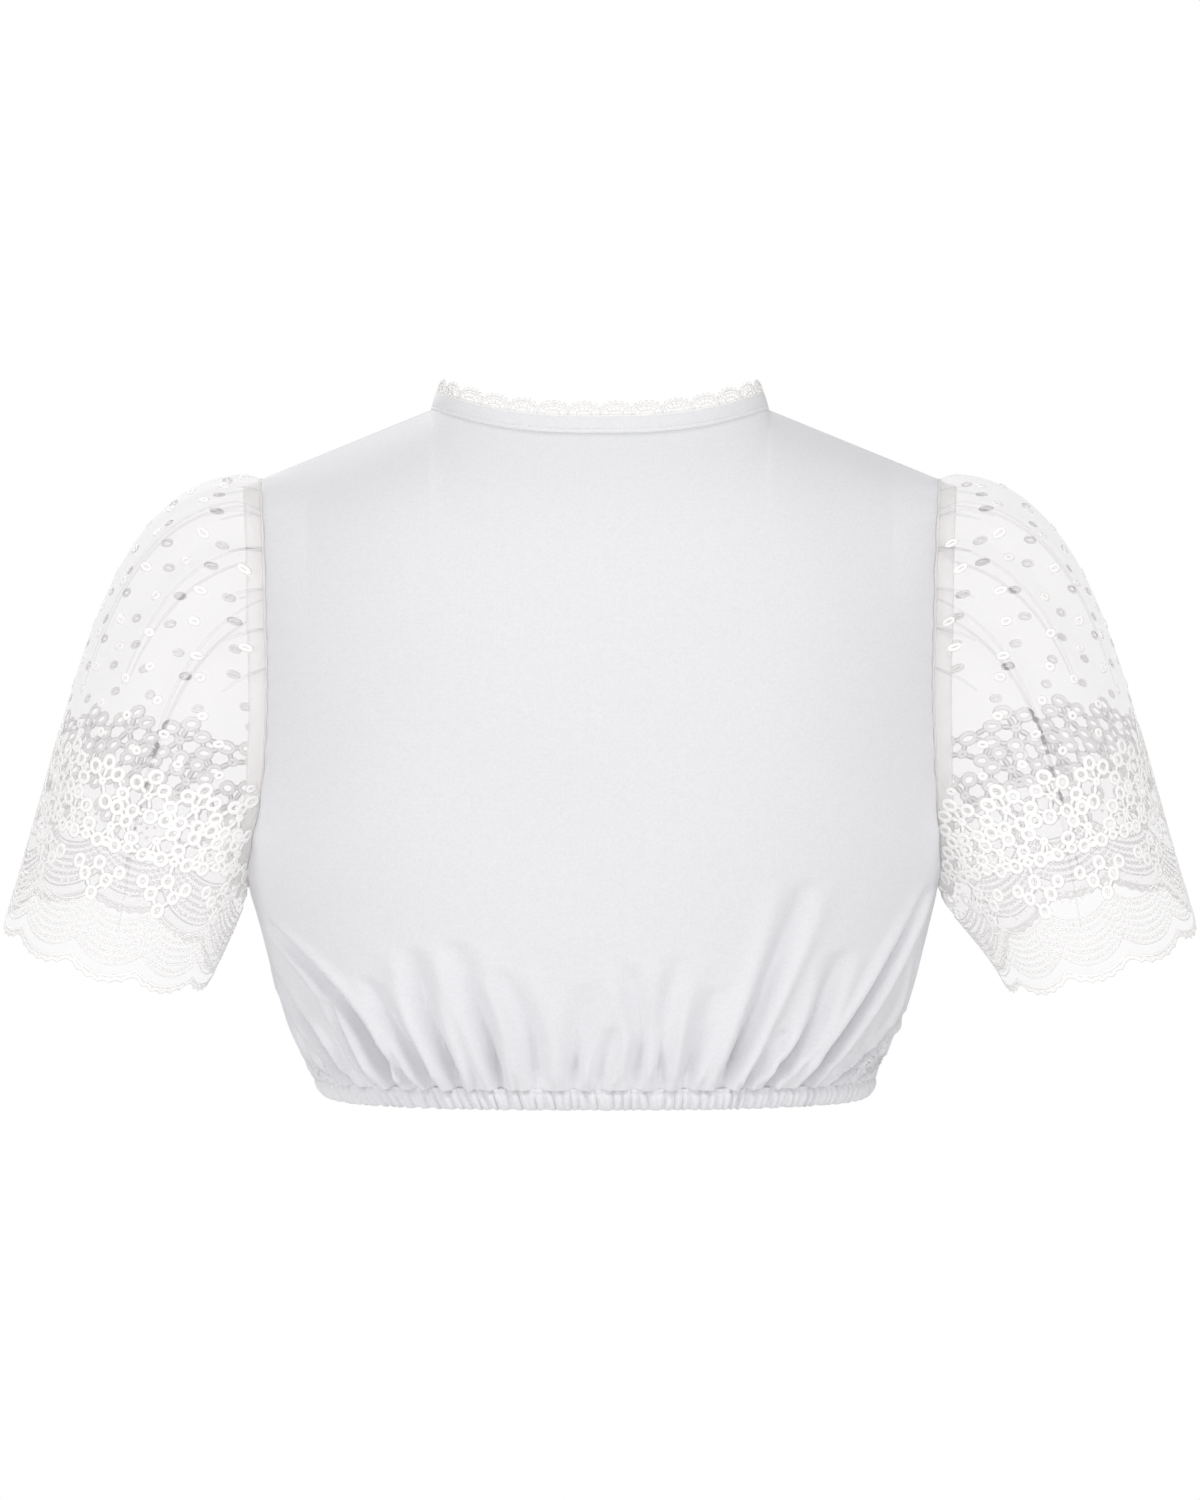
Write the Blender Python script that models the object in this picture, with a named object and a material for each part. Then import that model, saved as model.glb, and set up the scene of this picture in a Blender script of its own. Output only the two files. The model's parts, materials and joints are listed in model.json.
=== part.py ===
"""A dirndl blouse in its worn shape, with no wearer, as closed cloth walls.

The wearer faces -Y and +X is the wearer's left. The origin lies midway between the inner ends of the
shoulder seams, where the shoulders hold the blouse up. Sizes are millimetres here, and become metres
when an object is made.
"""

import math
from collections import namedtuple

import bpy
import numpy as np
from mathutils.geometry import delaunay_2d_cdt
from mathutils import Vector

MM = 0.001

# Cloth walls and the gaps at seams
COTTON_WALL = 1.6
TULLE_WALL = 1.1
BAND_WALL = 1.5
BAND_TOP_WALL = 1.0
CASING_WALL = 2.2
LACE_WALL = 1.0
SEAM_GAP = 0.3
NECK_GAP = 0.7
NECK_POINT_LIFT = 1.2
LACE_GAP = 1.6

# The body's heights
HEM_Z = -362.0
UNDERARM_Z = -256.0
ARCH_Z = -110.0
ARCH_RISE = 100.0

# The shoulder seam, from the neck point to the tip, and the side seam
NECK_X = 91.0
NECK_Y = 2.0
TIP_X = 183.0
TIP_Y = -6.0
TIP_Z = -37.0
SIDE_Y = -3.0
NECK_SHARE = 0.5
FULLNESS = 2.4
ARMHOLE_FULLNESS = 2.4

# Where the panels stop short of the seams they share
EDGE_SHARE = 0.999
SHOULDER_SHARE = 0.998
PANEL_SPREAD = 220.0
HEM_SIDES = (-EDGE_SHARE, -0.985, -0.95, -0.9, 0.9, 0.95, 0.985, EDGE_SHARE)
FOLD_ROWS = (-355, -346, -335, -322, -307, -291, -275)
PLAIN_ROWS = (-259, -241, -220, -196, -170, -144, -121, -103, -86, -69, -53, -38, -25)
PLAIN_COLUMNS = (-0.95, -0.86, -0.73, -0.58, -0.42, -0.28, -0.14, 0, 0.14, 0.28, 0.42, 0.58, 0.73, 0.86, 0.95)

Girth = namedtuple("Girth", "z half_width shift back_y front_y rounding")
BODY = (
    Girth(-374, 144.0, 1.5, 88.0, 100.0, 2.0),
    Girth(-368, 149.0, 2.0, 90.5, 102.5, 2.0),
    Girth(-362, 151.3, 3.0, 92.0, 104.0, 2.0),
    Girth(-350, 157.0, 3.8, 96.0, 109.0, 2.0),
    Girth(-338, 162.6, 4.0, 99.5, 113.0, 2.0),
    Girth(-320, 168.8, 3.4, 103.0, 119.0, 2.0),
    Girth(-300, 175.0, 2.9, 106.0, 125.0, 2.0),
    Girth(-275, 181.5, 3.0, 109.0, 130.0, 2.0),
    Girth(-256, 186.0, 3.6, 111.0, 132.0, 2.0),
    Girth(-238, 184.5, 2.5, 112.5, 133.0, 1.8),
    Girth(-215, 181.0, 1.0, 114.0, 132.0, 1.6),
    Girth(-180, 178.0, 0.0, 116.0, 125.0, 1.4),
    Girth(-145, 177.0, 0.0, 116.0, 113.0, 1.3),
    Girth(-110, 178.0, 0.0, 112.0, 97.0, 1.25),
)
HEM_SIDE_RISE = 3.0

# Each side of the body: which way it faces, its armhole's depth, and its neck root
Side = namedtuple("Side", "way depth arm_depth neck_y neck_z dip lean neckline_z neckline_curve")
BACK = Side(1, "back_y", 48.0, 66.0, -16.0, 2.6, 38.0, None, None)
FRONT = Side(-1, "front_y", 50.0, 64.0, -62.0, 1.8, 30.0, -178.0, 0.85)

# The front's fullness over the bust, from its cut
BUST_X = 84.0
BUST_Z = -212.0
BUST_SPREAD = 44.0
BUST_RISE = 9.0

# Folds that rise from the gathered hem: where each starts, bends and ends, seen from behind or in front
Fold = namedtuple("Fold", "hem_x mid_x mid_z top_x top_z depth width")
BACK_FOLDS = (
    Fold(140, 153, -351, 166, -327, 3.5, 5.0),
    Fold(130, 153, -335, 178, -299, 6.5, 6.0),
    Fold(118, 135, -333, 150, -303, 4.0, 4.5),
    Fold(107, 132, -322, 180, -274, 8.0, 6.5),
    Fold(96, 106, -352, 118, -338, 3.0, 4.0),
    Fold(87, 104, -334, 122, -304, 5.0, 5.5),
    Fold(74, 88, -331, 99, -288, 5.0, 6.0),
    Fold(52, 63, -324, 75, -285, 4.5, 6.0),
    Fold(33, 39, -325, 52, -299, 3.5, 6.0),
    Fold(14, 11, -335, 7, -306, 3.0, 6.0),
    Fold(0, -2, -345, -6, -329, 3.0, 5.0),
    Fold(-18, -22, -335, -16, -296, 3.5, 5.5),
    Fold(-31, -33, -327, -41, -292, 3.0, 5.5),
    Fold(-44, -52, -335, -59, -309, 3.5, 6.0),
    Fold(-64, -85, -317, -109, -254, 5.5, 6.5),
    Fold(-75, -85, -348, -97, -331, 3.0, 4.5),
    Fold(-88, -112, -331, -128, -290, 5.5, 6.5),
    Fold(-107, -139, -319, -179, -256, 8.0, 6.5),
    Fold(-122, -153, -335, -173, -289, 6.0, 5.5),
    Fold(-135, -153, -348, -165, -324, 3.5, 5.0),
)
FRONT_FOLDS = (
    Fold(141, 154, -348, 168, -318, 4.0, 5.5),
    Fold(129, 150, -332, 174, -288, 6.5, 6.5),
    Fold(115, 130, -340, 146, -306, 4.0, 5.0),
    Fold(101, 117, -322, 136, -262, 6.5, 6.5),
    Fold(86, 96, -342, 106, -310, 4.0, 5.0),
    Fold(70, 79, -320, 88, -260, 6.0, 6.5),
    Fold(52, 57, -338, 62, -302, 4.0, 5.5),
    Fold(35, 38, -326, 42, -272, 5.0, 6.0),
    Fold(16, 15, -340, 14, -304, 3.5, 5.5),
    Fold(-4, -6, -328, -8, -284, 4.5, 6.0),
    Fold(-25, -27, -340, -30, -306, 3.5, 5.0),
    Fold(-44, -48, -322, -52, -268, 5.5, 6.5),
    Fold(-61, -66, -340, -72, -304, 4.0, 5.0),
    Fold(-77, -87, -318, -98, -258, 6.5, 6.5),
    Fold(-93, -104, -340, -116, -304, 4.0, 5.0),
    Fold(-108, -126, -322, -148, -270, 6.5, 6.5),
    Fold(-124, -142, -338, -160, -300, 4.5, 5.5),
    Fold(-138, -156, -336, -174, -286, 5.5, 6.0),
)
PUFF = 0.4
HEM_HOLD = 0.3

# The gathered elastic channel
CASING_HEIGHT = 10.5
CASING_GATHERS = 128
CASING_DEPTH = 1.0

# The neck binding, its lace edging and how they stand
BAND_HEIGHT = 9.0
LACE_HEIGHT = 6.5
LACE_FOOT = 2.6
LACE_SCALLOPS = 44
LACE_STEPS = 3
BAND_STEPS = 33
NECK_STAND = 50.0

# Sleeve: how its cloth leaves the armhole, where its hem lies and how it arrives there
SleeveLine = namedtuple(
    "SleeveLine", "leave_x leave_y leave_z hem_x hem_y hem_z arrive_x arrive_y arrive_z"
)
SLEEVE = (
    SleeveLine(264, 0, 28, 322, -3, -276, 118, 0, -360),
    SleeveLine(150, 62, -45, 266, 62, -305, 75, 8, -205),
    SleeveLine(12, 0, -52, 211, -3, -308, 30, 0, -60),
    SleeveLine(150, -62, -45, 266, -68, -272, 75, -8, -190),
)
FRONT_LIFT_RIGHT = 8.0
UNDER_OUT_RIGHT = 7.0
SLEEVE_GIRTH = 390.0
HEM_SCALLOPS = 10
SCALLOP_RISE = 6.5
SCALLOP_STEPS = 6
CAP_GATHERS = 14
CAP_GATHER_REACH = 100.0
CAP_GATHER_DEPTH = 3.0
CAP_GATHER_LENGTH = 62.0

# Long folds that run down a sleeve from its gathered head, by angle round it from the top
SleeveFold = namedtuple("SleeveFold", "start_angle end_angle reach depth width")
SLEEVE_FOLDS = (
    SleeveFold(27, 25, 150, 6.5, 7.0),
    SleeveFold(43, 50, 105, 3.5, 6.0),
    SleeveFold(62, 92, 160, 5.5, 6.0),
    SleeveFold(-24, -20, 140, 5.5, 7.0),
    SleeveFold(-44, -48, 110, 3.5, 6.0),
    SleeveFold(-62, -86, 150, 5.0, 6.5),
)

# The top row of eyelet flowers of the sleeve's border, whose gaps over 4 mm are cut through
Petal = namedtuple("Petal", "across up")
FLOWER = (
    Petal(0, 10.8),
    Petal(-7.0, 5.5),
    Petal(7.0, 5.5),
    Petal(13.0, -2.5),
    Petal(-5.0, -9.5),
    Petal(5.0, -9.5),
)
FLOWERS = 15
TOP_ROW = 100.5
EYELET_LONG = 5.4
EYELET_WIDE = 4.3
EYELET_CORNERS = 6
EYELET_CLEARANCE = 9.0
SLEEVE_SPACING = 18.0

# Cotton seam allowance inside each armhole
ALLOWANCE_WIDTH = 9.5
ALLOWANCE_DROPS = (2.2, 5.0)
ALLOWANCE_WALL = 1.0
ALLOWANCE_STEPS = 36


def through(keys, values, at):
    """The smooth curve through a table's values, read at `at`."""
    keys, values, at = np.asarray(keys, float), np.asarray(values, float), np.asarray(at, float)
    slopes = np.gradient(values, keys)
    i = np.clip(np.searchsorted(keys, at) - 1, 0, len(keys) - 2)
    step = keys[i + 1] - keys[i]
    t = np.clip((at - keys[i]) / step, 0, 1)
    start = (1 + 2 * t) * (1 - t) ** 2 * values[i] + t * (1 - t) ** 2 * step * slopes[i]
    return start + t * t * (3 - 2 * t) * values[i + 1] + t * t * (t - 1) * step * slopes[i + 1]


def body_column(name, z):
    """One named column of the body's table at height z."""
    return through([g.z for g in BODY], [getattr(g, name) for g in BODY], z)


def edge_y(side, z):
    """How far the panel's edge stands from the side seam: nothing below the armhole, an oval in it."""
    fall = np.clip((ARCH_Z - z) / (ARCH_Z - UNDERARM_Z), 0, 1)
    oval = (1 - fall**ARMHOLE_FULLNESS) ** (1 / ARMHOLE_FULLNESS)
    return SIDE_Y + side.way * side.arm_depth * oval


def top_line(side, c):
    """The form's top: the shoulder seam outside the neck point, and the neck's root inside it."""
    reach = np.abs(c)
    turn = np.clip(reach / NECK_SHARE, 0, 1) * math.pi / 2
    along = np.clip((reach - NECK_SHARE) / (1 - NECK_SHARE), 0, 1)
    x = np.sign(c) * (NECK_X * np.sin(turn) + (TIP_X - NECK_X) * along)
    y = NECK_Y + side.way * side.neck_y * np.cos(turn) ** 0.9 + (TIP_Y - NECK_Y) * along
    z = side.neck_z * (1 - np.sin(turn) ** side.dip) + TIP_Z * along
    return x, y, z


def body_form(side, c, h):
    """Points of the smooth body. c runs from -1 to 1 across a panel and h up it."""
    c, h = np.broadcast_arrays(np.asarray(c, float), np.asarray(h, float))
    z = np.minimum(h, ARCH_Z)
    sweep = np.clip((ARCH_Z - z) / (ARCH_Z - UNDERARM_Z), 0, 1)
    share = (1 - sweep) * c + sweep * np.sin(c * math.pi / 2)
    edge = edge_y(side, z)
    middle = side.way * body_column(side.depth, z)
    inside = np.clip(1 - np.abs(share) ** FULLNESS, 0, 1)
    x = body_column("half_width", z) * share + body_column("shift", z)
    y = edge + (middle - edge) * inside ** (1 / body_column("rounding", z))
    if side is FRONT:
        off = (np.abs(x) - BUST_X) ** 2 + (z - BUST_Z) ** 2
        y = y - BUST_RISE * np.exp(-off / (2 * BUST_SPREAD**2))
    rise = np.clip((h - ARCH_Z) / ARCH_RISE, 0, 1)
    lean = np.radians(side.lean + (90 - side.lean) * np.clip(np.abs(c) / NECK_SHARE, 0, 1) ** 3)
    turn = rise * lean
    top_x, top_y, top_z = top_line(side, c)
    x = x + (top_x - x) * rise * rise * (3 - 2 * rise)
    y = y + (top_y - y) * (1 - np.cos(turn)) / (1 - np.cos(lean))
    z = z + (top_z - z) * np.sin(turn) / np.sin(lean)
    z = z + HEM_SIDE_RISE * np.abs(c) ** 4 * np.clip((-320 - z) / 40, 0, 1)
    return np.stack([x, y, z], axis=-1)


def unit(vectors):
    """Vectors of length 1."""
    return vectors / np.maximum(np.linalg.norm(vectors, axis=-1, keepdims=True), 1e-9)


def body_normal(side, c, h):
    """The smooth body's outward directions."""
    c, h = np.broadcast_arrays(np.asarray(c, float), np.asarray(h, float))
    across = body_form(side, np.minimum(c + 0.004, 1), h) - body_form(side, np.maximum(c - 0.004, -1), h)
    top = ARCH_Z + ARCH_RISE
    up = body_form(side, c, np.minimum(h + 1.0, top)) - body_form(side, c, np.minimum(h, top) - 1.0)
    return unit(np.cross(across, up)) * -side.way


def fold_line(fold, h):
    """How far across the panel a fold lies at height h, and how far up itself that is."""
    x = through((HEM_Z, fold.mid_z, fold.top_z), (fold.hem_x, fold.mid_x, fold.top_x), h)
    share = np.clip((x - body_column("shift", h)) / body_column("half_width", h), -0.99, 0.99)
    return np.arcsin(share) * 2 / math.pi, np.clip((h - HEM_Z) / (fold.top_z - HEM_Z), 0, 1)


def fold_depth(folds, c, h):
    """How far the gathers push the cloth in or out: soft troughs with a puff beside each."""
    total = np.zeros(np.broadcast(c, h).shape)
    for fold in folds:
        line, along = fold_line(fold, h)
        off = (c - line) * PANEL_SPREAD / (fold.width * (0.6 + 0.5 * along))
        fade = np.where(h < fold.top_z, (1 - along) ** 0.6, 0) * np.minimum(HEM_HOLD + along * 5, 1)
        puff = PUFF * np.exp(-((np.abs(off) - 2.0) ** 2))
        total += fold.depth * fade * (puff - np.exp(-off * off))
    return total


def inside_outline(points, outline):
    """True for each point inside a closed outline."""
    x, y = points[:, :1], points[:, 1:]
    a, b = outline, np.roll(outline, -1, axis=0)
    spans = (a[:, 1] > y) != (b[:, 1] > y)
    rise = np.where(b[:, 1] == a[:, 1], 1e-9, b[:, 1] - a[:, 1])
    crossing = (b[:, 0] - a[:, 0]) * (y - a[:, 1]) / rise + a[:, 0]
    return (spans & (x < crossing)).sum(axis=1) % 2 == 1


def apart(points, others, distance):
    """The points that keep the distance from the others and from each other."""
    kept = [np.asarray(p, float) for p in others]
    chosen = []
    for point in np.asarray(points, float):
        if np.linalg.norm(np.asarray(kept) - point, axis=1).min() >= distance:
            kept.append(point)
            chosen.append(point)
    return np.array(chosen).reshape(-1, 2)


def cut_cloth(outline, holes, filling):
    """Corners and triangles of a flat piece: its outline, less the holes, over the filling's points."""
    points, edges = [], []
    for loop in (outline, *holes):
        start = len(points)
        points.extend(loop)
        edges.extend((start + i, start + (i + 1) % len(loop)) for i in range(len(loop)))
    points.extend(filling)
    found = delaunay_2d_cdt([Vector(p) for p in points], edges, [], 0, 1e-7)
    corners = np.array([tuple(v) for v in found[0]])
    triangles = np.array([f for f in found[2]])
    centres = corners[triangles].mean(axis=1)
    keep = inside_outline(centres, np.asarray(outline))
    for hole in holes:
        keep &= ~inside_outline(centres, np.asarray(hole))
    return corners, triangles[keep]


def make_object(name, points, faces, material):
    """A named object from corner points in millimetres, its faces turned outwards."""
    points = np.asarray(points, float)
    corners = [(f[0], f[i], f[i + 1]) for f in faces for i in range(1, len(f) - 1)]
    tri = points[np.array(corners)]
    if np.einsum("ij,ij->i", tri[:, 0], np.cross(tri[:, 1], tri[:, 2])).sum() < 0:
        faces = [tuple(reversed(f)) for f in faces]
    mesh = bpy.data.meshes.new(name)
    mesh.from_pydata([tuple(p * MM) for p in points], [], [tuple(int(i) for i in f) for f in faces])
    mesh.shade_smooth()
    mesh.set_sharp_from_angle(angle=math.radians(50))
    mesh.materials.append(material)
    made = bpy.data.objects.new(name, mesh)
    bpy.context.scene.collection.objects.link(made)
    return made


def wall(name, outer, inner, triangles, material):
    """A closed wall: two skins and a strip along every free edge."""
    count = len(outer)
    faces = [tuple(t) for t in triangles]
    faces += [tuple(count + i for i in reversed(t)) for t in triangles]
    ways = {(t[i], t[(i + 1) % 3]) for t in triangles.tolist() for i in range(3)}
    faces += [(b, a, count + a, count + b) for a, b in ways if (b, a) not in ways]
    used = sorted({i for f in faces for i in f})
    place = {old: new for new, old in enumerate(used)}
    points = np.concatenate([outer, inner])[used]
    return make_object(name, points, [tuple(place[i] for i in f) for f in faces], material)


def ring_wall(name, rows, material):
    """A closed ring from rows of points that go round its section, each row once round the ring."""
    rows = [np.asarray(row) for row in rows]
    count = len(rows[0])
    faces = []
    for r in range(len(rows)):
        a, b = r * count, (r + 1) % len(rows) * count
        faces += [(a + i, a + (i + 1) % count, b + (i + 1) % count, b + i) for i in range(count)]
    return make_object(name, np.concatenate(rows), faces, material)


def fold_marks(folds, h):
    """Shares across the panel at height h: each fold, and midway between folds."""
    lines = sorted(float(fold_line(f, h)[0]) for f in folds)
    marks = [-0.97, *lines, 0.97]
    return sorted({*lines, *((a + b) / 2 for a, b in zip(marks, marks[1:]))})


def panel_filling(folds):
    """Points over a panel: on and between the folds low down, and evenly spaced higher up."""
    points = []
    for h in FOLD_ROWS:
        points += [(c * PANEL_SPREAD, h) for c in fold_marks(folds, h)]
    for h in PLAIN_ROWS:
        points += [(c * PANEL_SPREAD, h) for c in PLAIN_COLUMNS]
    return points


def neckline_heights(side):
    """The panel's top outline from the right neck point to the left one, as (c, h) pairs."""
    top = ARCH_Z + ARCH_RISE * SHOULDER_SHARE
    if side is BACK:
        return [(NECK_SHARE * s, top) for s in np.sin(np.linspace(-1, 1, 25) * math.pi / 2)]
    rise = np.linspace(0, 1, 23)
    left = NECK_SHARE * rise**side.neckline_curve
    heights = side.neckline_z + (top - side.neckline_z) * rise
    half = list(zip(left, heights))
    return [(-c, h) for c, h in reversed(half[1:])] + half


def panel_outline(side, folds):
    """A panel's cut line over (c spread in mm, height)."""
    top = ARCH_Z + ARCH_RISE * SHOULDER_SHARE
    hem = HEM_Z + SEAM_GAP / 2
    side_seam = [hem + (UNDERARM_Z - hem) * s for s in np.linspace(0, 1, 8)[1:]]
    oval = [math.cos(math.radians(a)) ** (2 / ARMHOLE_FULLNESS) for a in range(12, 90, 13)]
    armhole = [ARCH_Z - (ARCH_Z - UNDERARM_Z) * s for s in oval]
    arch = [ARCH_Z + (top - ARCH_Z) * s for s in np.linspace(0, 1, 7)[:-1]]
    edge = side_seam + armhole + arch
    shoulder = np.linspace(EDGE_SHARE, NECK_SHARE, 7)[:-1]
    right_up = [(EDGE_SHARE, h) for h in edge]
    shoulder_left = [(c, top) for c in shoulder]
    neckline = list(reversed(neckline_heights(side)))
    hem_line = sorted({*fold_marks(folds, HEM_Z), *HEM_SIDES})
    loop = [(c, hem) for c in hem_line] + right_up + shoulder_left + neckline
    loop += [(-c, h) for c, h in reversed(shoulder_left)] + [(-c, h) for c, h in reversed(right_up)]
    return np.array([(c * PANEL_SPREAD, h) for c, h in loop])


def make_panel(name, side, folds, material):
    """The back or the front: one cotton panel over the form, with its folds."""
    outline = panel_outline(side, folds)
    filling = np.array(panel_filling(folds))
    filling = filling[inside_outline(filling, outline)]
    filling = apart(filling, outline, 3.4)
    flat, triangles = cut_cloth(outline, [], filling)
    c, h = flat[:, 0] / PANEL_SPREAD, flat[:, 1]
    form, normal = body_form(side, c, h), body_normal(side, c, h)
    outer = form + normal * fold_depth(folds, c, h)[:, None]
    return wall(name, outer, outer - normal * COTTON_WALL, triangles, material)


def casing_ring(count, z, push):
    """Points round the hem at height z, pushed out along the body's own direction."""
    turns = np.arange(count) / count * 4
    rows = []
    for turn, out in zip(turns, np.broadcast_to(push, count)):
        side, c = (BACK, 1 - turn) if turn < 2 else (FRONT, turn - 3)
        point, normal = body_form(side, c, z), body_normal(side, c, z)
        rows.append(point + normal * out)
    return np.array(rows)


def make_casing(material):
    """The elastic channel: a ribbed outer skin on a plain inner one, joined at the top and bottom."""
    ribs = 2 * CASING_GATHERS
    wave = np.arange(ribs) % 2
    sway = 0.65 + 0.35 * np.sin(np.arange(ribs) * 0.77) * np.sin(np.arange(ribs) * 0.31 + 1)
    top_z, low_z = HEM_Z - SEAM_GAP / 2, HEM_Z - CASING_HEIGHT
    outer = [casing_ring(ribs, z, 0.4 + CASING_DEPTH * wave * sway) for z in (top_z, low_z)]
    inner = [casing_ring(CASING_GATHERS, z, -CASING_WALL) for z in (low_z, top_z)]
    points = np.concatenate(outer + inner)
    faces = []
    for i in range(ribs):
        faces.append((i, (i + 1) % ribs, ribs + (i + 1) % ribs, ribs + i))
    low, inner_low, inner_top = ribs, 2 * ribs, 2 * ribs + CASING_GATHERS
    for i in range(CASING_GATHERS):
        j = (i + 1) % CASING_GATHERS
        k, m, n = 2 * i, 2 * i + 1, (2 * i + 2) % ribs
        faces += [
            (low + k, low + m, inner_low + i),
            (low + m, inner_low + j, inner_low + i),
            (low + m, low + n, inner_low + j),
            (inner_low + i, inner_low + j, inner_top + j, inner_top + i),
            (inner_top + i, m, k),
            (inner_top + i, inner_top + j, m),
            (inner_top + j, n, m),
        ]
    return make_object("hem_casing", points, faces, material)


def half_neckline():
    """The neckline from the foot of the V to the middle of the back: points, and ways out and up."""
    top = ARCH_Z + ARCH_RISE
    marks = [
        (FRONT, NECK_SHARE * r**FRONT.neckline_curve, FRONT.neckline_z + (top - FRONT.neckline_z) * r)
        for r in np.linspace(0, 1, 81)
    ]
    marks += [(BACK, NECK_SHARE * math.cos(t), top) for t in np.linspace(0, math.pi / 2, 61)[1:]]
    points = np.array([body_form(*m) for m in marks])
    normals = np.array([body_normal(*m) for m in marks])
    up = np.cross(normals, np.gradient(points, axis=0))
    for _ in range(30):
        normals[1:-1] = (normals[:-2] + 2 * normals[1:-1] + normals[2:]) / 4
        up[1:-1] = (up[:-2] + 2 * up[1:-1] + up[2:]) / 4
    normals[[0, -1], 0] = 0
    up[[0, -1], 0] = 0
    normals, up = unit(normals), unit(up)
    stand = np.radians(NECK_STAND) * np.clip(1 + points[:, 2:] / 60, 0, 1)
    way = np.cos(stand) * up + np.sin(stand) * normals
    return points, np.cos(stand) * normals - np.sin(stand) * up, way


def neck_edge(rise, steps):
    """A line all round the neck at this height on the binding, with the ways out and up there."""
    points, out, way = half_neckline()
    lift = NECK_POINT_LIFT * np.exp(-(((points[:, 1:2] - NECK_Y) / 8) ** 2))
    moved = points + way * (rise + lift)
    moved[:, 0] = np.where(np.arange(len(moved)) == len(moved) - 1, 0, moved[:, 0])
    start = int(np.nonzero(moved[:, 0] < 0)[0].max()) + 1 if (moved[:, 0] < 0).any() else 0
    if start:
        share = moved[start, 0] / (moved[start, 0] - moved[start - 1, 0])
        moved[start - 1] = moved[start] + (moved[start - 1] - moved[start]) * share
        moved, out, way = moved[start - 1 :], out[start - 1 :], way[start - 1 :]
    reach = np.concatenate([[0], np.cumsum(np.linalg.norm(np.diff(moved, axis=0), axis=1))])
    at = np.linspace(0, reach[-1], steps + 1)
    half = [np.stack([np.interp(at, reach, v[:, k]) for k in range(3)], axis=1) for v in (moved, out, way)]
    half[0][[0, -1], 0] = 0
    for vectors in half[1:]:
        vectors[[0, -1], 0] = 0
    mirror = np.array([-1, 1, 1])
    return [np.concatenate([v, (v * mirror)[-2:0:-1]]) for v in half]


def make_neck_band(material):
    """The binding round the neckline."""
    low, low_out, _ = neck_edge(NECK_GAP, BAND_STEPS)
    high, high_out, _ = neck_edge(BAND_HEIGHT, BAND_STEPS)
    rows = (low, high, high - unit(high_out) * BAND_TOP_WALL, low - unit(low_out) * BAND_WALL)
    return ring_wall("neck_band", rows, material)


def make_neck_lace(material):
    """The lace edging: a strip with a scalloped top, a small gap above the binding."""
    steps = LACE_SCALLOPS * LACE_STEPS // 2
    low, out, way = neck_edge(BAND_HEIGHT + LACE_GAP, steps)
    way[:, 0] *= np.clip(np.abs(low[:, 0]) / 8, 0, 1)
    arch = np.abs(np.sin(np.arange(2 * steps) * math.pi / LACE_STEPS))
    rise = LACE_FOOT + (LACE_HEIGHT - LACE_FOOT) * arch**0.7
    high, wall_size = low + unit(way) * rise[:, None], unit(out) * LACE_WALL
    return ring_wall("neck_lace", (low, high, high - wall_size, low - wall_size), material)


def armhole(side_x, angle):
    """Points of the armhole by angle round the sleeve: 0 at the shoulder tip, 180 under the arm."""
    top = ARCH_Z + ARCH_RISE
    oval = np.cos(np.linspace(math.pi / 2, 0, 60)) ** (2 / ARMHOLE_FULLNESS)
    heights = np.concatenate([np.linspace(top, ARCH_Z, 40)[:-1], ARCH_Z - (ARCH_Z - UNDERARM_Z) * oval])
    angle = np.asarray(angle, float) % 360
    places = []
    for side in (BACK, FRONT):
        line = body_form(side, side_x, heights)
        reach = np.concatenate([[0], np.cumsum(np.linalg.norm(np.diff(line, axis=0), axis=1))])
        share = np.where(angle > 180, 360 - angle, angle) / 180
        places.append(np.stack([np.interp(share * reach[-1], reach, line[:, k]) for k in range(3)], axis=-1))
    return np.where((angle > 180)[..., None], places[1], places[0])


def round_sleeve(side_x, kind, angle):
    """The sleeve table's x, y and z of one kind, carried smoothly round the sleeve."""
    rows = list(SLEEVE)
    if side_x < 0:
        rows[2] = rows[2]._replace(hem_x=rows[2].hem_x + UNDER_OUT_RIGHT)
        rows[3] = rows[3]._replace(hem_z=rows[3].hem_z + FRONT_LIFT_RIGHT)
    top, back, under, front = (
        np.array([getattr(r, f"{kind}_x") * side_x, getattr(r, f"{kind}_y"), getattr(r, f"{kind}_z")], float)
        for r in rows
    )
    turn = np.radians(np.asarray(angle, float))[..., None]
    mean, second = (top + back + under + front) / 4, (top - back + under - front) / 4
    first = (top - under) / 2 * np.cos(turn) + (back - front) / 2 * np.sin(turn)
    return mean + first + second * np.cos(2 * turn)


def sleeve_lines(side_x, angle):
    """Each angle's line from the armhole to the hem, and the lengths along it."""
    t = np.linspace(0, 1, 49)[:, None]
    angle = np.asarray(angle, float)
    start, leave = armhole(side_x, angle)[:, None], round_sleeve(side_x, "leave", angle)[:, None]
    end, arrive = round_sleeve(side_x, "hem", angle)[:, None], round_sleeve(side_x, "arrive", angle)[:, None]
    line = (1 + 2 * t) * (1 - t) ** 2 * start + t * (1 - t) ** 2 * leave
    line = line + t * t * (3 - 2 * t) * end + t * t * (t - 1) * arrive
    span = np.linalg.norm(np.diff(line, axis=1), axis=2)
    return line, np.concatenate([np.zeros((len(angle), 1)), np.cumsum(span, axis=1)], axis=1)


def sleeve_length(side_x, angle):
    """The cloth's length from hem to armhole at each angle."""
    return sleeve_lines(side_x, np.atleast_1d(angle))[1][:, -1]


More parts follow.
